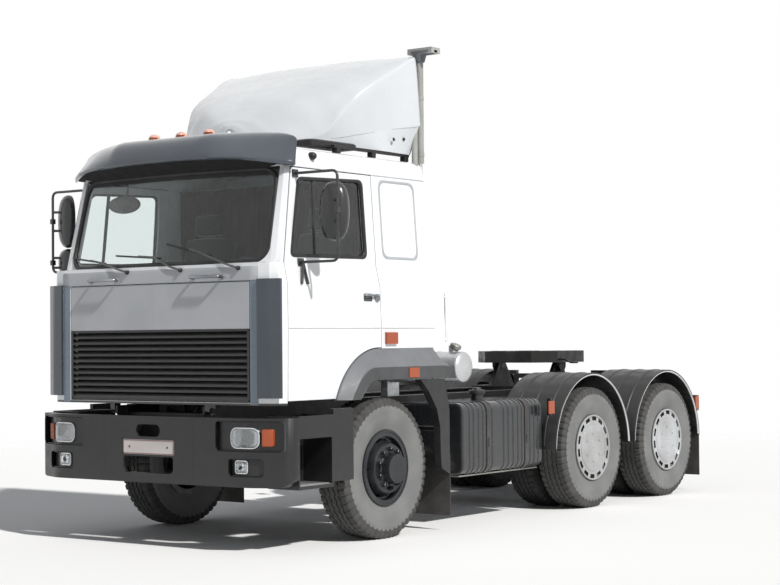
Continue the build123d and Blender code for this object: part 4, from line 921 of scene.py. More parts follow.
# ---- Door furniture ------------------------------------------------------------------------------
# Black rubber round each door window, and a bright pull handle over a dark recess with a round
# lock beside it.
window_corners = ((-1.068, 2.106), (-0.177, 2.118), (-0.178, 2.698), (-0.932, 2.672))
window_rubber = ((-0.010, 0.0), (-0.008, 0.006), (0.010, 0.006), (0.016, -0.004),
                 (0.016, -0.014))
handle_dark = finish_of("handle_dark", (0.25, 0.28, 0.28), (0.20, 0.22, 0.22), rough=0.5)
handle_chrome = finish_of("handle_chrome", (0.62, 0.63, 0.65), (0.45, 0.46, 0.47), rough=0.22,
                          metal=0.9)
for side, way in sides:
    body = "door_" + side
    piece("window_rubber_" + side, body, seal_rubber,
          side_frame(window_corners, 0.055, window_rubber, way))
    cup = side_frame(((-0.270, 1.790), (-0.165, 1.790), (-0.165, 1.848), (-0.270, 1.848)), 0.012,
                     ((0.0, 0.0005), (0.002, 0.004), (0.026, 0.003), (0.028, 0.001)), way)
    piece("handle_surround_" + side, body, handle_dark, cup)
    grip = bent([on_side(-0.262, 1.835, 0.006, way), on_side(-0.262, 1.835, 0.022, way),
                 on_side(-0.120, 1.835, 0.022, way), on_side(-0.120, 1.835, 0.006, way)], 0.012)
    bars("door_pull_" + side, body, handle_chrome, [grip], 0.0085)
    lock = turned([(0.0, 0.030), (way * 0.012, 0.029), (way * 0.016, 0.022), (way * 0.016, 0.010),
                   (way * 0.012, 0.008)], on_side(-0.108, 1.818, 0.002, way), 0, 28)
    piece("door_lock_" + side, body, handle_chrome, lock)

# ---- Window glass --------------------------------------------------------------------------------
# Lightly green laminated windscreen, bowed across and leaning back, bonded in a black rubber
# moulding with white gussets in its lower corners and a dark header above. The door glass is flat.
clear_glass = bpy.data.materials.new("clear_glass")
clear_glass.use_nodes = True
glass_nodes = clear_glass.node_tree.nodes
glass_shader = glass_nodes["Principled BSDF"]
glass_shader.inputs["Base Color"].default_value = (0.86, 0.91, 0.90, 1.0)
glass_shader.inputs["Transmission Weight"].default_value = 1.0
glass_shader.inputs["IOR"].default_value = 1.35
glass_smear = glass_nodes.new("ShaderNodeTexNoise")
glass_smear.inputs["Scale"].default_value = 3.0
glass_link = clear_glass.node_tree.links.new
glass_link(glass_nodes.new("ShaderNodeTexCoord").outputs["Object"], glass_smear.inputs["Vector"])
glass_range = glass_nodes.new("ShaderNodeMapRange")
glass_range.inputs["To Min"].default_value = 0.0
glass_range.inputs["To Max"].default_value = 0.05
glass_link(glass_smear.outputs["Fac"], glass_range.inputs["Value"])
glass_link(glass_range.outputs["Result"], glass_shader.inputs["Roughness"])
dress(clear_glass, "windscreen", "door_glass_left", "door_glass_right")
screen_foot = 2.055
screen_rise = 0.700
screen_front = -1.290
screen_bow = 0.105
screen_lean = 0.165


def glass_y(x, z):
    """Outer face of the bowed and leaning windscreen."""
    return screen_front + screen_bow * x ** 2 + screen_lean * (z - screen_foot) / screen_rise


def on_screen(x, z, out=0.0):
    """Point on the windscreen: x is taken at the foot and draws in with height."""
    half = 1.0 - 0.034 * (z - screen_foot) / screen_rise
    return at(x * half, glass_y(min(1.0, abs(x)), z) - out, z)


screen_round = 0.120
screen_half = 0.990
screen_low = 2.066
screen_corners = rounded_frame((-screen_half, screen_low), (screen_half, 2.745), screen_round)
screen_loop = [on_screen(x, z, 0.001) for x, z in stepped_loop(screen_corners, 0.06)]
bars("windscreen_rubber", "cab", seal_rubber, [screen_loop], 0.019, closed=True)
gussets = []
for way in (1, -1):
    middle = (screen_half - screen_round, screen_low + screen_round)
    bend = []
    near = screen_round + 0.004
    for step in range(11):
        turn = radians(-90 + 9 * step)
        reach = (screen_round + 0.022) / max(cos(turn), -sin(turn))
        bend.append([on_screen(way * (middle[0] + far * cos(turn)),
                               middle[1] + far * sin(turn), out)
                     for far, out in ((near, 0.002), (near, 0.012), (reach, 0.012),
                                      (reach, 0.002))])
    gussets.append(rings_to_shape(bend))
piece("screen_gussets", "cab", cab_white, merged(*gussets), edge=0.001)
header = rings_to_shape([[on_screen(0.93 * step / 12, z, out) for z, out in
                          ((2.700, 0.001), (2.700, 0.004), (2.752, 0.004), (2.752, 0.001))]
                         for step in range(-12, 13)])
piece("screen_header", "cab", seal_rubber, header)

# ---- Cowl ----------------------------------------------------------------------------------------
# Grey sheet steel panel under the windscreen, seamed above the hatch, with a rounded top edge that
# catches the light. Two bright grab handles and three wiper spindles are fixed through it.
front_grey = finish_of("front_grey", (0.68, 0.69, 0.71), (0.65, 0.66, 0.68), rough=0.34,
                       spread=0.06, relief=0.06, grain=25.0, coat=0.3, dust=0.1, dust_top=1.6)
dress(front_grey, "hatch_panel")
soften(0.003, "hatch_panel")


def face_y(x):
    """Front face of the cab at a distance from the middle."""
    return -1.310 + 0.020 * abs(x) / 0.985


cowl_rows = ((0.0, 1.934), (-0.0022, 1.936), (-0.0022, 2.010), (0.002, 2.030), (0.010, 2.046),
             (0.022, 2.056), (0.040, 2.060), (0.060, 2.060))
cowl_stations = [step / 24 * 2 - 1 for step in range(25)]
cowl = rings_to_shape([[at(0.982 * s, face_y(0.982 * s) + back + 0.03 * s * s * (back > 0.03), z)
                        for back, z in cowl_rows] for s in cowl_stations],
                      closed=False, caps=False)
cowl_panel = piece("cowl_panel", "cab", front_grey, cowl)
cowl_panel.modifiers.new("thick", "SOLIDIFY").thickness = -0.003
surround = merged(*[rings_to_shape([[at(side * x, face_y(x) + back, z)
                                     for x, back in ((0.908, 0.004), (0.909, -0.0022),
                                                     (0.980, -0.0022), (0.983, 0.004))]
                                    for z in (1.050, 1.930)]) for side in (-1, 1)])
# The strips between the hatch and the corner panels are painted blue-grey as the shadow that the
# corner panels cast on the face.
surround_painted_shadow = finish_of("surround_painted_shadow", (0.455, 0.505, 0.56), (0.42, 0.465, 0.515), rough=0.3,
                          spread=0.06, coat=0.3, dust=0.1, dust_top=1.6)
piece("front_surround", "cab", surround_painted_shadow, surround)
grab_runs = []
for side in (-1, 1):
    grab_runs.append(bent([at(side * 0.385, -1.303, 1.960), at(side * 0.385, -1.358, 1.966),
                           at(side * 0.655, -1.353, 1.966), at(side * 0.655, -1.298, 1.960)],
                          0.022))
bars("grab_handles", "cab", handle_chrome, grab_runs, 0.012)
grab_feet = merged(*[turned([(0.0, 0.022), (-0.006, 0.020), (-0.009, 0.013)],
                            at(side * x, face_y(x) - 0.001, 1.962), 1, 20)
                     for side in (-1, 1) for x in (0.385, 0.655)])
piece("grab_handle_feet", "cab", handle_chrome, grab_feet)

# ---- Wipers --------------------------------------------------------------------------------------
# Three wipers parked to the right: a black spindle cap, a bent steel arm and a rubber blade that
# lies along the glass.
wiper_black = finish_of("wiper_black", (0.12, 0.12, 0.125), (0.17, 0.17, 0.17), rough=0.4,
                        metal=0.3)
wiper_steel = finish_of("wiper_steel", (0.36, 0.37, 0.37), (0.30, 0.31, 0.31), rough=0.4,
                        metal=0.3)
# spindle x; blade ends as (x, z)
wiper_rows = ((-0.277, (-0.960, 2.150), (-0.560, 2.098)),
              (0.263, (-0.450, 2.152), (0.035, 2.116)),
              (0.809, (0.079, 2.219), (0.500, 2.125)))

arm_runs = []
blade_runs = []
spindles = []
for spindle, low, high in wiper_rows:
    root = at(spindle, face_y(spindle) - 0.012, 2.020)
    grip = at(high[0] - 0.06, glass_y(*high) - 0.022, high[1] + 0.010)
    knee = at(spindle - 0.11, face_y(spindle) - 0.018, 2.052)
    arm_runs.append(bent([root, knee, grip], 0.04))
    centre = (low[0] * 0.45 + high[0] * 0.55, low[1] * 0.45 + high[1] * 0.55)
    arm_runs.append([grip, at(centre[0], glass_y(*centre) - 0.018, centre[1] + 0.006)])
    blade_runs.append([at(x, glass_y(x, z) - 0.008, z) for x, z in
                       [(low[0] + (high[0] - low[0]) * s, low[1] + (high[1] - low[1]) * s)
                        for s in (0, 0.25, 0.5, 0.75, 1)]])
    spindles.append(turned([(0.004, 0.016), (-0.020, 0.015), (-0.026, 0.010)],
                           at(spindle, face_y(spindle), 2.020), 1, 16))
piece("wiper_spindles", "cab", wiper_black, merged(*spindles))
bars("wiper_arms", "cab", wiper_steel, arm_runs, 0.0075)
bars("wiper_blades", "cab", wiper_black, blade_runs, 0.007)

# ---- Grille --------------------------------------------------------------------------------------
# Black moulded grille in the lower half of the lifting hatch: long slats that lean outwards at the
# foot, in a frame, with the dark radiator core behind.
grille_black = finish_of("grille_black", (0.095, 0.095, 0.10), (0.13, 0.13, 0.13), rough=0.38,
                         relief=0.2, grain=300.0, dust=0.15, dust_top=1.6)
slat_count = 11
slat_half = 0.884
grille_half = 0.898
grille_low = 1.072
grille_top = 1.588
slats = []
pitch = (grille_top - grille_low - 0.03) / slat_count


def across_face(section, stations):
    """Moulding across the cab front; the section is (back from the face, height)."""
    return rings_to_shape([[at(x, face_y(x) + back, z) for back, z in section]
                           for x in stations])


for number in range(slat_count):
    z = grille_low + 0.014 + number * pitch
    slat_section = [(back, z + up) for back, up in
                    ((0.001, 0.000), (0.001, 0.006), (0.004, 0.010), (0.022, pitch * 0.80),
                     (0.0255, pitch * 0.80), (0.0255, pitch * 0.70), (0.006, 0.002))]
    slats.append(across_face(slat_section, (-slat_half, 0.0, slat_half)))
border = [across_face(((0.0, z0), (0.0, z1), (0.026, z1), (0.026, z0)), (x0, (x0 + x1) / 2, x1))
          for x0, x1, z0, z1 in ((-grille_half, -0.878, grille_low, grille_top),
                                 (0.878, grille_half, grille_low, grille_top),
                                 (-grille_half, grille_half, grille_low, grille_low + 0.016),
                                 (-grille_half, grille_half, grille_top - 0.016, grille_top))]
piece("grille_slats", "hatch", grille_black, merged(*slats, *border),
      edge=0.001, stands_for=["grille"])
core = across_face(((0.050, 1.085), (0.050, 1.575), (0.054, 1.575), (0.054, 1.085)),
                   (-0.875, 0.0, 0.875))
piece("radiator_core", "cab", gap_black_and_painted_shade, core)

# ---- Corner panels and flares --------------------------------------------------------------------
# Dark slate air panels wrap the front corners beside the grille. The wheel flares behind them are
# moulded plastic in two greys: a lighter bevel above and a darker band at the wheel opening.
slate = finish_of("slate", (0.265, 0.295, 0.335), (0.24, 0.268, 0.305), rough=0.18, spread=0.06,
                  relief=0.08, grain=30.0, coat=0.5, dust=0.12, dust_top=1.5)
corner_paint = finish_of("corner_paint", (0.215, 0.245, 0.28), (0.19, 0.215, 0.245), rough=0.22,
                         spread=0.06, relief=0.08, grain=30.0, coat=0.4)
dress(corner_paint, "corner_panels")
soften(0.010, "corner_panels")
flare_grey = finish_of("flare_grey", (0.44, 0.45, 0.465), (0.41, 0.42, 0.43), rough=0.5,
                       relief=0.25, grain=350.0, dust=0.2, dust_top=1.4)
flare_dark = finish_of("flare_dark", (0.27, 0.275, 0.285), (0.24, 0.245, 0.25), rough=0.5,
                       relief=0.25, grain=350.0, dust=0.2, dust_top=1.4)
dress(flare_grey, "wheel_flares")
soften(0.006, "wheel_flares")
band_outer = [(-0.546, 1.066), (-0.515, 1.115), (-0.475, 1.165), (-0.43, 1.212), (-0.38, 1.252),
              (-0.33, 1.279), (-0.28, 1.293), (-0.22, 1.297), (0.20, 1.297), (0.64, 1.297),
              (0.748, 1.286)]
band_inner = [(-0.444, 1.066), (-0.425, 1.092), (-0.400, 1.120), (-0.372, 1.146), (-0.345, 1.168),
              (-0.318, 1.184), (-0.288, 1.195), (-0.22, 1.204), (0.20, 1.204), (0.62, 1.204),
              (0.727, 1.204)]
for side, way in sides:
    band = rings_to_shape([[at(way * 1.2385, *outer), at(way * 1.243, *outer),
                            at(way * 1.243, *inner), at(way * 1.225, *inner)]
                           for outer, inner in zip(band_outer, band_inner)])
    piece("flare_band_" + side, "cab", flare_dark, band, edge=0.002)

# ---- Visor and roof lamps ------------------------------------------------------------------------
# One-piece moulded visor in gloss slate, hooded over the windscreen and running back into the roof,
# with a near-black lining under it that is painted shade. Three domed pale amber lamps stand on the
# roof behind its crown.
# distance from the middle, lip along the truck, lip height, height where it meets the roof
visor_rows = ((0.0, -1.318, 2.831, 3.020), (0.35, -1.313, 2.828, 3.022),
              (0.60, -1.293, 2.820, 3.020), (0.75, -1.262, 2.813, 3.014),
              (0.90, -1.200, 2.795, 3.000), (1.00, -1.137, 2.779, 2.985),
              (1.07, -1.078, 2.770, 2.970), (1.116, -1.028, 2.768, 2.952))
# back from the lip and up from it, as shares of the visor's depth and rise
visor_section = ((0.10, -0.01), (0.04, -0.015), (0.005, 0.03), (0.0, 0.10), (0.012, 0.25),
                 (0.045, 0.45), (0.10, 0.64), (0.19, 0.79), (0.32, 0.895), (0.50, 0.955),
                 (0.72, 0.985), (1.0, 1.0))
visor_half = visor_rows[-1][0]
visor_rear = -0.934
visor_draw = 0.061


def along_table(table, key):
    """Row of a table at a key between its rows, by an even curve."""
    count = len(table)
    number = max(0, min(count - 2, sum(1 for row in table if row[0] <= key) - 1))
    p1, p2 = table[number], table[number + 1]
    t = (key - p1[0]) / (p2[0] - p1[0])
    p0 = table[number - 1] if number else p1
    p3 = table[number + 2] if number + 2 < count else p2
    result = []
    for a, b, c, d in zip(p0, p1, p2, p3):
        result.append(0.5 * (2 * b + (c - a) * t + (2 * a - 5 * b + 4 * c - d) * t * t +
                             (3 * b - a - 3 * c + d) * t ** 3))
    return result


visor_rings = []
lining_rings = []
for step in range(81):
    s = sin((step / 40 - 1) * pi / 2)
    half, lip, low, top = along_table(visor_rows, abs(s) * visor_half)
    lean = max(0.0, (abs(s) - 0.4) / 0.6) ** 0.8
    draw = visor_draw * max(0.0, (abs(s) - 0.8) / 0.2) * (1 if s > 0 else -1)
    ring = []
    for back, up in visor_section:
        if up > 0:
            back += (up - back) * lean
        ring.append(at(visor_half * s - draw * back, lip + (visor_rear - lip) * back,
                       low + (top - low) * up))
    visor_rings.append(ring)
    lining_rings.append([at(1.098 * s, lip + 0.012, low + 0.003),
                         at(1.05 * s, lip + 0.06, low - 0.006),
                         on_screen(0.960 * s / 0.967, 2.742, 0.006)])
visor = piece("visor_hood", "cab", slate,
              rings_to_shape(visor_rings, closed=False, caps=False), sharp=60.0,
              stands_for=["sun_visor"])
visor.modifiers.new("thick", "SOLIDIFY").thickness = -0.010
# The lining is near-black as painted shade under the hood, not a colour of its own.
lining = piece("visor_lining", "cab", gap_black_and_painted_shade,
               rings_to_shape(lining_rings, closed=False, caps=False))
lining.modifiers.new("thick", "SOLIDIFY").thickness = 0.004
lamp_shapes = []
for x in (-0.290, -0.010, 0.268):
    lamp_shapes.append(turned([(2.985, 0.040), (3.028, 0.044), (3.034, 0.047), (3.042, 0.047),
                               (3.058, 0.042), (3.069, 0.032), (3.077, 0.017), (3.079, 0.006)],
                              at(x, -1.000, 0.0), 2, 28))
roof_lamp = lens_finish("roof_lamp", (0.95, 0.75, 0.67), flute=50.0, rough=0.12, glow=0.15)
piece("roof_lamps", "cab", roof_lamp, merged(*lamp_shapes))
side_lamps = both_sides(turned([(1.030, 0.030), (1.058, 0.028), (1.072, 0.020), (1.077, 0.010)],
                               at(0.0, -0.748, 2.844), 0, 24))
piece("roof_side_lamps", "cab", wiper_black, side_lamps)

# ---- Roof deflector ------------------------------------------------------------------------------
# Glass-fibre air deflector in gloss pale grey: a broad domed front that turns over a soft crease
# into flat sides, open behind. Skirt panels and dark rails carry it on the roof.
shell_grey = finish_of("shell_grey", (0.845, 0.86, 0.875), (0.80, 0.815, 0.83), patch=1.6,
                       rough=0.3, spread=0.08, relief=0.12, grain=12.0, coat=0.4)
# along, half at foot, foot z, half at crease, crease z, half at top, top z
shell_rows = ((-0.470, 0.20, 3.012, 0.19, 3.080, 0.10, 3.150),
              (-0.430, 0.35, 3.012, 0.34, 3.085, 0.20, 3.190),
              (-0.350, 0.53, 3.014, 0.52, 3.075, 0.34, 3.250),
              (-0.250, 0.665, 3.022, 0.660, 3.075, 0.51, 3.322),
              (-0.170, 0.735, 3.040, 0.742, 3.125, 0.59, 3.376),
              (-0.090, 0.790, 3.052, 0.800, 3.255, 0.655, 3.425),
              (0.040, 0.855, 3.080, 0.878, 3.395, 0.71, 3.498),
              (0.168, 0.905, 3.105, 0.922, 3.485, 0.72, 3.562),
              (0.377, 0.970, 3.145, 0.960, 3.598, 0.79, 3.662),
              (0.587, 1.038, 3.175, 1.002, 3.714, 0.86, 3.732),
              (0.620, 1.045, 3.185, 1.008, 3.730, 0.87, 3.742))


def rounded_run(corners, rounds=3):
    """Cuts the corners of a run again and again, keeping its ends."""
    for _ in range(rounds):
        fresh = [corners[0]]
        for a, b in zip(corners, corners[1:]):
            fresh.append(tuple(p * 0.75 + q * 0.25 for p, q in zip(a, b)))
            fresh.append(tuple(p * 0.25 + q * 0.75 for p, q in zip(a, b)))
        corners = fresh + [corners[-1]]
    return corners


shell_rings = []
shell_steps = 40
for step in range(shell_steps + 1):
    along = shell_rows[0][0] + (shell_rows[-1][0] - shell_rows[0][0]) * (step / shell_steps) ** 1.35
    foot, foot_z, crease, crease_z, top, top_z = along_table(shell_rows, along)[1:]
    crown = top_z + 0.025
    run = [(foot, foot_z), ((foot + crease) / 2, (foot_z + crease_z) / 2),
           (crease, crease_z - 0.02), (crease - 0.02, crease_z + 0.02), (top, top_z),
           (top * 0.5, crown), (0.0, crown)]
    half_run = rounded_run(run, 2)
    full = half_run + [(-x, z) for x, z in reversed(half_run[:-1])]
    shell_rings.append([at(x, along, z) for x, z in full])
nose_ring = [at(p[0] * 0.3, -0.484, 3.01 + (p[2] - 3.01) * 0.75) for p in shell_rings[0]]
shell = piece("deflector_shell", "cab", shell_grey,
              rings_to_shape([nose_ring] + shell_rings, closed=False, caps=False), sharp=60.0,
              levels=1, stands_for=["roof_deflector"])
shell.modifiers.new("thick", "SOLIDIFY").thickness = 0.012
skirt_rings = []
for step in range(17):
    along = -0.20 + 0.80 * step / 16
    foot, foot_z = along_table(shell_rows, along)[1:3]
    base = 0.72 + 0.235 * min(1.0, (along + 0.20) / 0.45)
    base_z = 2.972 - 0.012 * (along + 0.20)
    skirt_rings.append([at(foot - 0.012, along, foot_z + 0.012), at(base - 0.012, along, base_z),
                        at(base, along, base_z), at(foot, along, foot_z + 0.012)])
piece("deflector_skirts", "cab", shell_grey,
      both_sides(rings_to_shape(skirt_rings)))
skirt_bolts = merged(*[bolt_heads([at(side * 0.985, along, z)], 0.011, 0.009, 0, side)
                       for side in (-1, 1) for along, z in ((0.340, 3.062), (0.475, 3.076))])
piece("skirt_bolts", "cab", band_steel, skirt_bolts)
rail_x = 0.93
foot_rails = merged(*[block(side * rail_x - 0.018, side * rail_x + 0.018, -0.36, 0.60, 2.944,
                            2.968) for side in (-1, 1)],
                    *[block(side * rail_x - 0.025, side * rail_x + 0.025, along, along + 0.05,
                            2.905, 2.946) for side in (-1, 1) for along in (-0.34, 0.10, 0.53)])
piece("deflector_rails", "cab", wiper_black, foot_rails, edge=0.004)


def upright_block(low, high, corner, rows):
    """Corner-rounded block built upwards from (x, along) corners; rows are (height, growth)."""
    return rings_to_shape([[at(x, along, z) for x, along in
                            rounded_frame((low[0] - grow, low[1] - grow),
                                          (high[0] + grow, high[1] + grow), corner)]
                           for z, grow in rows])


vent = upright_block((0.70, -0.565), (0.90, 0.0), 0.05,
                     ((2.955, 0.0), (2.992, 0.0), (3.002, -0.012)))
piece("roof_vent", "cab", wiper_black, vent)

# ---- Side fairings and air intake ----------------------------------------------------------------
# White fairings stretch the cab sides back over the gap, with a grab rail low on the edge. The
# intake pipe climbs behind the left one to a grey moulded mushroom above the deflector.
pipe_grey = finish_of("pipe_grey", (0.70, 0.70, 0.69), (0.60, 0.60, 0.585), rough=0.45, relief=0.2)
intake_grey = finish_of("intake_grey", (0.44, 0.455, 0.475), (0.38, 0.39, 0.40), rough=0.5,
                        relief=0.4, grain=260.0)
dress(pipe_grey, "snorkel")
snorkel_along = 0.676
mushroom = upright_block((0.915, 0.63), (1.149, 0.75), 0.04,
                         ((3.762, -0.03), (3.768, 0.0), (3.790, 0.0), (3.803, -0.012),
                          (3.809, -0.035)))
snorkel_foot = at(1.0, snorkel_along, 0.0)
collar = turned([(3.70, 0.034), (3.705, 0.042), (3.735, 0.050), (3.765, 0.060)], snorkel_foot, 2,
                28)
piece("intake_mushroom", "cab", intake_grey, merged(mushroom, collar), edge=0.002)
post = turned([(2.86, 0.024), (3.19, 0.024), (3.195, 0.020)], at(1.0, 0.60, 0.0), 2, 20)
bands = merged(*[turned([(z, 0.033), (z + 0.03, 0.033)], snorkel_foot, 2, 28)
                 for z in (2.10, 2.95, 3.40)])
piece("intake_post", "cab", pipe_grey, merged(post, bands), edge=0.001)

# ---- Mirrors -------------------------------------------------------------------------------------
# Black moulded heads, domed in front and toed in. Two short stays tie each one to a bent steel tube
# arm with a clamp on it, and the right-hand arm carries a second, wide-angle head below.
mirror_shell = finish_of("mirror_shell", (0.13, 0.135, 0.14), (0.16, 0.162, 0.165), rough=0.3,
                         relief=0.2, grain=380.0, coat=0.3)
mirror_glass = finish_of("mirror_glass", (0.86, 0.88, 0.89), (0.80, 0.82, 0.83), rough=0.05,
                         spread=0.03, relief=0.02, metal=1.0)
# middle height, half height, half width of each head
mirror_heads = {"left": ((2.420, 0.212, 0.108),),
                "right": ((2.470, 0.212, 0.108), (2.140, 0.112, 0.098))}
toe = radians(20)
arm_x = 1.446
arm_y = -0.967
arm_foot = 2.062
arm_head = 2.702
head_x = 1.352
head_y = -0.875
# distance off the glass, share of the head's outline
head_rows = ((0.010, 0.945), (-0.004, 0.955), (-0.006, 0.985), (0.004, 1.0), (0.020, 1.0),
             (0.040, 0.95), (0.058, 0.83), (0.070, 0.64), (0.077, 0.40), (0.080, 0.12))


def head_loop(way, middle, half_high, half_wide, out, grow, points=36):
    """Oval loop of a mirror head, standing off its glass."""
    loop = []
    for step in range(points):
        turn = tau * step / points
        u = half_wide * grow * abs(cos(turn)) ** 0.8 * (1 if cos(turn) > 0 else -1)
        v = half_high * grow * abs(sin(turn)) ** 0.8 * (1 if sin(turn) > 0 else -1)
        loop.append(at(way * (head_x + u * cos(toe) + out * sin(toe)),
                       head_y + u * sin(toe) - out * cos(toe), middle + v))
    return loop


for side, way in sides:
    shells = []
    glasses = []
    stays = []
    clamps = []
    for middle, half_high, half_wide in mirror_heads[side]:
        head = (way, middle, half_high, half_wide)
        shells.append(rings_to_shape([head_loop(*head, out, grow) for out, grow in head_rows]))
        glasses.append(rings_to_shape([head_loop(*head, out, 0.94) for out in (0.003, 0.006)]))
        for z in (middle - half_high * 0.35, middle + half_high * 0.35):
            stays.append([at(way * arm_x, arm_y, z), at(way * 1.380, -0.925, z)])
        clamps.append(block(way * (arm_x - 0.014), way * (arm_x + 0.014), arm_y - 0.018,
                            arm_y + 0.018, middle - 0.020, middle + 0.020))
    arm = bent([at(way * (side_x(arm_foot) + 0.010), arm_y, arm_foot),
                at(way * arm_x, arm_y, arm_foot), at(way * arm_x, arm_y, arm_head),
                at(way * (side_x(arm_head) + 0.010), arm_y, arm_head)], 0.05)
    strut_z = 1.905
    struts = [[at(way * (side_x(arm_foot) + 0.030), arm_y, arm_foot - 0.007),
               at(way * (side_x(strut_z) + 0.010), arm_y + shift, strut_z)]
              for shift in (-0.035, 0.035)]
    feet = [block(way * (side_x(z) - 0.002), way * (side_x(z) + 0.013), arm_y - 0.030,
                  arm_y + 0.030, z - 0.028, z + 0.028) for z in (arm_foot, arm_head)]
    piece("mirror_heads_" + side, "door_" + side, mirror_shell,
          merged(*shells, *clamps, *feet), edge=0.002, stands_for=["mirror_" + side])
    piece("mirror_glass_" + side, "door_" + side, mirror_glass, merged(*glasses))
    bars("mirror_arm_" + side, "door_" + side, mirror_shell,
         [arm] + stays + struts, 0.0105)

# ---- Dashboard -----------------------------------------------------------------------------------
# Grained dark moulding with a hooded instrument binnacle ahead of the big two-spoke wheel, and an
# oval mirror hanging from the roof over the right seat.
dash_plastic = finish_of("dash_plastic", (0.25, 0.255, 0.265), (0.22, 0.22, 0.23), rough=0.7,
                         relief=0.5, grain=420.0)
dress(dash_plastic, "dashboard")
soften(0.008, "dashboard")
binnacle = rings_to_shape([[at(x, along, z) for along, z in
                            ((-1.10, 2.005), (-0.955, 2.005), (-0.945, 2.075 - drop),
                             (-1.02, 2.10 - drop), (-1.10, 2.07 - drop))]
                           for x, drop in ((0.34, 0.03), (0.40, 0.0), (0.72, 0.0), (0.78, 0.03))])
piece("binnacle", "cab", dash_plastic, binnacle, edge=0.010)
room_mirror = rings_to_shape([[at(-0.672 + 0.152 * r * cos(t), along + 0.02 * cos(t),
                                  2.565 + 0.070 * r * sin(t))
                               for t in [tau * step / 32 for step in range(32)]]
                              for along, r in ((-0.955, 0.75), (-0.948, 0.95), (-0.938, 1.0),
                                               (-0.932, 0.98))])
piece("room_mirror", "cab", mirror_shell, room_mirror)
bars("room_mirror_stem", "cab", mirror_shell,
     [bent([at(-0.64, -0.945, 2.60), at(-0.64, -0.93, 2.70), at(-0.66, -0.95, 2.765)], 0.03)],
     0.007)
for side, way in sides:
    bars("window_divider_" + side, "door_" + side, seal_rubber,
         [[on_side(-0.775, 2.118, -0.020, way), on_side(-0.745, 2.688, -0.020, way)]], 0.014)

# ---- Seats and bunk ------------------------------------------------------------------------------
# Foam seats in dark woven cloth on steel pedestals: a crowned squab, a backrest with side bolsters
# and a headrest. Behind them a foam mattress lies on the bunk base.
seat_cloth = finish_of("seat_cloth", (0.16, 0.168, 0.19), (0.13, 0.137, 0.155), rough=0.95,
                       relief=0.6, grain=600.0)
seat_shader = seat_cloth.node_tree.nodes["Principled BSDF"]
seat_shader.inputs["Sheen Weight"].default_value = 0.4
mattress_cloth = finish_of("mattress_cloth", (0.52, 0.47, 0.42), (0.46, 0.42, 0.38), rough=0.95,
                           relief=0.6, grain=500.0)
cab_foot_z = 1.438
seat_x = 0.590


def cushion(size, crown, crease=0.0):
    """Foam block about the origin, its broad faces crowned, its sides full, its edges rounded."""
    steps = 14
    half = [length / 2 for length in size]
    points = []
    for side in (1, -1):
        for row in range(steps + 1):
            for column in range(steps + 1):
                u = sin((row / steps - 0.5) * pi)
                v = sin((column / steps - 0.5) * pi)
                swell = (1 - u ** 4) * (1 - v ** 4)
                full = 1.0 - 0.045 * (u * u * v * v)
                dip = crease * max(0.0, 1 - abs(abs(u) - 0.62) / 0.10) * (1 - v ** 6)
                points.append((half[0] * u * full, half[1] * v * full,
                               side * (half[2] * 0.62 + (half[2] * 0.38 + crown) * swell ** 0.45
                                       - dip)))
    grid = (steps + 1) ** 2
    faces = []
    for start, flip in ((0, False), (grid, True)):
        for row in range(steps):
            for column in range(steps):
                a = start + row * (steps + 1) + column
                face = [a, a + 1, a + steps + 2, a + steps + 1]
                faces.append(face[::-1] if flip else face)
    rim = ([column for column in range(steps)] +
           [row * (steps + 1) + steps for row in range(steps)] +
           [steps * (steps + 1) + steps - column for column in range(steps)] +
           [(steps - row) * (steps + 1) for row in range(steps)])
    for number, a in enumerate(rim):
        b = rim[(number + 1) % len(rim)]
        faces.append([a, b, b + grid, a + grid])
    return points, faces


def set_down(shape, centre, lean=0.0):
    """Turns a shape about the truck's cross axis and sets it on a centre in the row frame."""
    turn = Matrix.Rotation(radians(lean), 3, "X")
    return [tuple(turn @ Vector(point) + Vector(centre)) for point in shape[0]], shape[1]


for side, way in sides:
    name = "seat_" + side
    pedestal = [block(way * seat_x - 0.17, way * seat_x + 0.17, -0.46, -0.06, cab_foot_z + 0.002,
                      cab_foot_z + 0.15),
                block(way * seat_x - 0.22, way * seat_x + 0.22, -0.53, -0.04, cab_foot_z + 0.15,
                      cab_foot_z + 0.18)]
    stands = ["seats"] if side == "left" else []
    piece(name + "_pedestal", "cab", band_steel, merged(*pedestal), edge=0.006,
          stands_for=stands)
    for part, foam, along, lift, lean in (
            ("_squab", cushion((0.50, 0.50, 0.13), 0.022, 0.008), -0.30, 0.262, 4.0),
            ("_backrest", cushion((0.49, 0.60, 0.11), 0.020, 0.008), -0.065, 0.60, 82.0),
            ("_headrest", cushion((0.28, 0.17, 0.09), 0.014), -0.035, 1.00, 82.0)):
        pad = set_down(foam, at(way * seat_x, along, cab_foot_z + lift), lean)
        piece(name + part, "cab", seat_cloth, pad)
    bars(name + "_frame", "cab", band_steel,
         [[at(way * seat_x + shift, -0.05, cab_foot_z + 0.18),
           at(way * seat_x + shift, -0.03, cab_foot_z + 0.94)] for shift in (-0.06, 0.06)], 0.008)
bunk_base = block(-1.045, 1.045, 0.075, 0.600, cab_foot_z + 0.002, cab_foot_z + 0.30)
piece("bunk_base", "cab", floor_lining, bunk_base, edge=0.008,
      stands_for=["bunk"])
mattress = set_down(cushion((2.06, 0.51, 0.115), 0.012), at(0.0, 0.340, cab_foot_z + 0.362))
piece("bunk_mattress", "cab", mattress_cloth, mattress)

# ---- Sleeper curtains ----------------------------------------------------------------------------
# Dark lined curtains on a rail across the cab, drawn between the seats and the bunk. They were cut
# wider than the gap and hang in even gathers that open a little towards the hem.
curtain_cloth = finish_of("curtain_cloth", (0.32, 0.29, 0.27), (0.26, 0.235, 0.215), rough=0.95,
                          relief=0.5, grain=450.0)
curtain_top = 2.735
curtain_foot = 1.875
curtain_along = 0.048
bars("curtain_rail", "cab", rail_trim,
     [[at(-1.01, curtain_along, curtain_top + 0.004), at(1.01, curtain_along, curtain_top + 0.004)]],
     0.005)


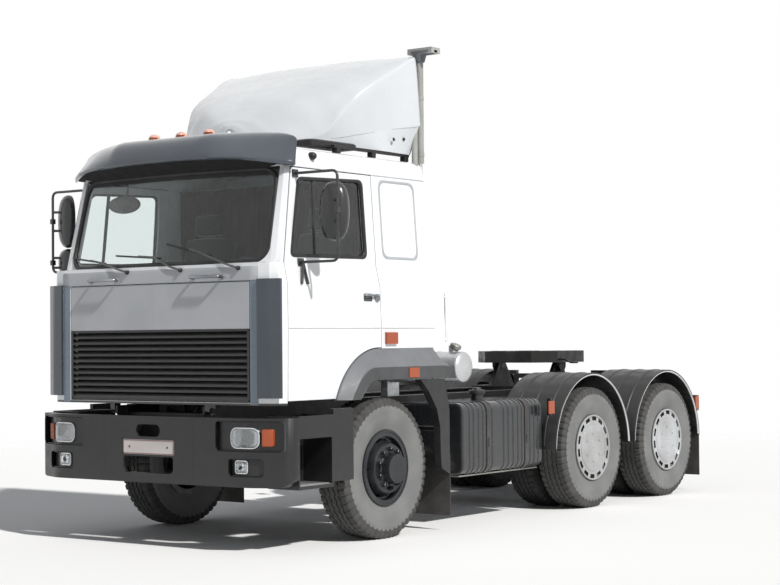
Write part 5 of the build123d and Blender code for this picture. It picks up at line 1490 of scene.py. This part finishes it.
def curtain(x0, x1, gathers, phase):
    """Gathered curtain between two ends; returns its shape and the width of cloth it took."""
    across = 220
    down = 14
    rows = []
    for row in range(down + 1):
        t = row / down
        z = curtain_top + (curtain_foot - curtain_top) * t
        line = []
        for step in range(across + 1):
            s = step / across
            sway = 0.010 * sin(2.1 * tau * s + phase + 1.4 * t) * t
            deep = (0.012 + 0.006 * t) * (1 + 0.25 * sin(3.3 * tau * s + 2 * phase))
            turn = tau * gathers * s + 0.6 * sin(1.7 * tau * s + phase) * (0.5 + t)
            line.append(at(x0 + (x1 - x0) * s + 0.006 * sin(turn * 2), curtain_along + sway * 0.4 +
                           deep * sin(turn), z))
        rows.append(line)
    length = sum(sum((Vector(b) - Vector(a)).length for a, b in zip(line, line[1:]))
                 for line in rows) / len(rows)
    return rings_to_shape(rows, closed=False, caps=False), length


for name, x0, x1, gathers, phase in (("curtain_left", 0.015, 1.003, 15, 0.4),
                                     ("curtain_right", -1.003, -0.005, 15, 2.1)):
    hung, cloth_width = curtain(x0, x1, gathers, phase)
    cloth = piece(name, "cab", curtain_cloth, hung, sharp=180.0)
    cloth.modifiers.new("thick", "SOLIDIFY").thickness = 0.0012

# ---- Floor, light and camera ---------------------------------------------------------------------
# A pale floor that fades into a white backdrop, a soft sky and one soft key light high on the
# left-hand side of the truck.
floor_mesh = bpy.data.meshes.new("floor")
floor_reach = 30.0
floor_mesh.from_pydata([(-floor_reach, -floor_reach, 0), (floor_reach, -floor_reach, 0),
                        (floor_reach, floor_reach, 0), (-floor_reach, floor_reach, 0)], [],
                       [[0, 1, 2, 3]])
floor = bpy.data.objects.new("floor", floor_mesh)
bpy.context.scene.collection.objects.link(floor)
floor_tone = bpy.data.materials.new("floor_tone")
floor_tone.use_nodes = True
floor_nodes = floor_tone.node_tree.nodes
floor_link = floor_tone.node_tree.links.new
floor_shader = floor_nodes["Principled BSDF"]
floor_shader.inputs["Base Color"].default_value = screen_tone(0.985, 0.985, 0.985)
floor_shader.inputs["Roughness"].default_value = 0.9
floor_shader.inputs["Specular IOR Level"].default_value = 0.1
distance = floor_nodes.new("ShaderNodeVectorMath")
distance.operation = "LENGTH"
floor_link(floor_nodes.new("ShaderNodeTexCoord").outputs["Object"], distance.inputs[0])
fade = floor_nodes.new("ShaderNodeMapRange")
fade.inputs["From Min"].default_value = 5.0
fade.inputs["From Max"].default_value = 16.0
fade.interpolation_type = "SMOOTHSTEP"
floor_link(distance.outputs["Value"], fade.inputs["Value"])
see_through = floor_nodes.new("ShaderNodeBsdfTransparent")
floor_mix = floor_nodes.new("ShaderNodeMixShader")
floor_link(fade.outputs["Result"], floor_mix.inputs["Fac"])
floor_link(floor_shader.outputs["BSDF"], floor_mix.inputs[1])
floor_link(see_through.outputs["BSDF"], floor_mix.inputs[2])
floor_link(floor_mix.outputs["Shader"], floor_nodes["Material Output"].inputs["Surface"])
floor_mesh.materials.append(floor_tone)

world = bpy.data.worlds.new("sky")
bpy.context.scene.world = world
world.use_nodes = True
sky = world.node_tree.nodes
sky_link = world.node_tree.links.new
soft_sky = sky["Background"]
soft_sky.inputs["Color"].default_value = (0.93, 0.96, 1.0, 1.0)
soft_sky.inputs["Strength"].default_value = 0.27
backdrop = sky.new("ShaderNodeBackground")
backdrop.inputs["Color"].default_value = (1.0, 1.0, 1.0, 1.0)
backdrop.inputs["Strength"].default_value = 1.0
ray = sky.new("ShaderNodeLightPath")
white_seen = ray.outputs["Is Camera Ray"]
for kind in ("Is Transmission Ray", "Is Glossy Ray"):
    either = sky.new("ShaderNodeMath")
    either.operation = "MAXIMUM"
    sky_link(white_seen, either.inputs[0])
    sky_link(ray.outputs[kind], either.inputs[1])
    white_seen = either.outputs[0]
sky_mix = sky.new("ShaderNodeMixShader")
sky_link(white_seen, sky_mix.inputs["Fac"])
sky_link(soft_sky.outputs[0], sky_mix.inputs[1])
sky_link(backdrop.outputs[0], sky_mix.inputs[2])
sky_link(sky_mix.outputs[0], sky["World Output"].inputs["Surface"])

key_data = bpy.data.lights.new("key", "SUN")
key_data.energy = 3.5
key_data.angle = radians(2.5)
key_data.color = (1.0, 0.985, 0.96)
key = bpy.data.objects.new("key", key_data)
bpy.context.scene.collection.objects.link(key)
key.rotation_euler = Vector((0.72, -0.19, 0.66)).to_track_quat("Z", "Y").to_euler()

camera_data = bpy.data.cameras.new("camera")
camera_data.lens = 81.876
camera_data.sensor_width = 36.0
camera = bpy.data.objects.new("camera", camera_data)
bpy.context.scene.collection.objects.link(camera)
camera_right = Vector((0.80549324, 0.59253666, -0.00899684))
camera_up = Vector((0.0226502, -0.01561279, 0.99962153))
camera_ahead = Vector((-0.59217194, 0.80539217, 0.02599707))
camera.matrix_world = Matrix.Translation((9.125, -12.692, 1.510)) @ Matrix(
    (camera_right, camera_up, -camera_ahead)).transposed().to_4x4()
bpy.context.scene.camera = camera
bpy.context.scene.view_settings.view_transform = "Standard"
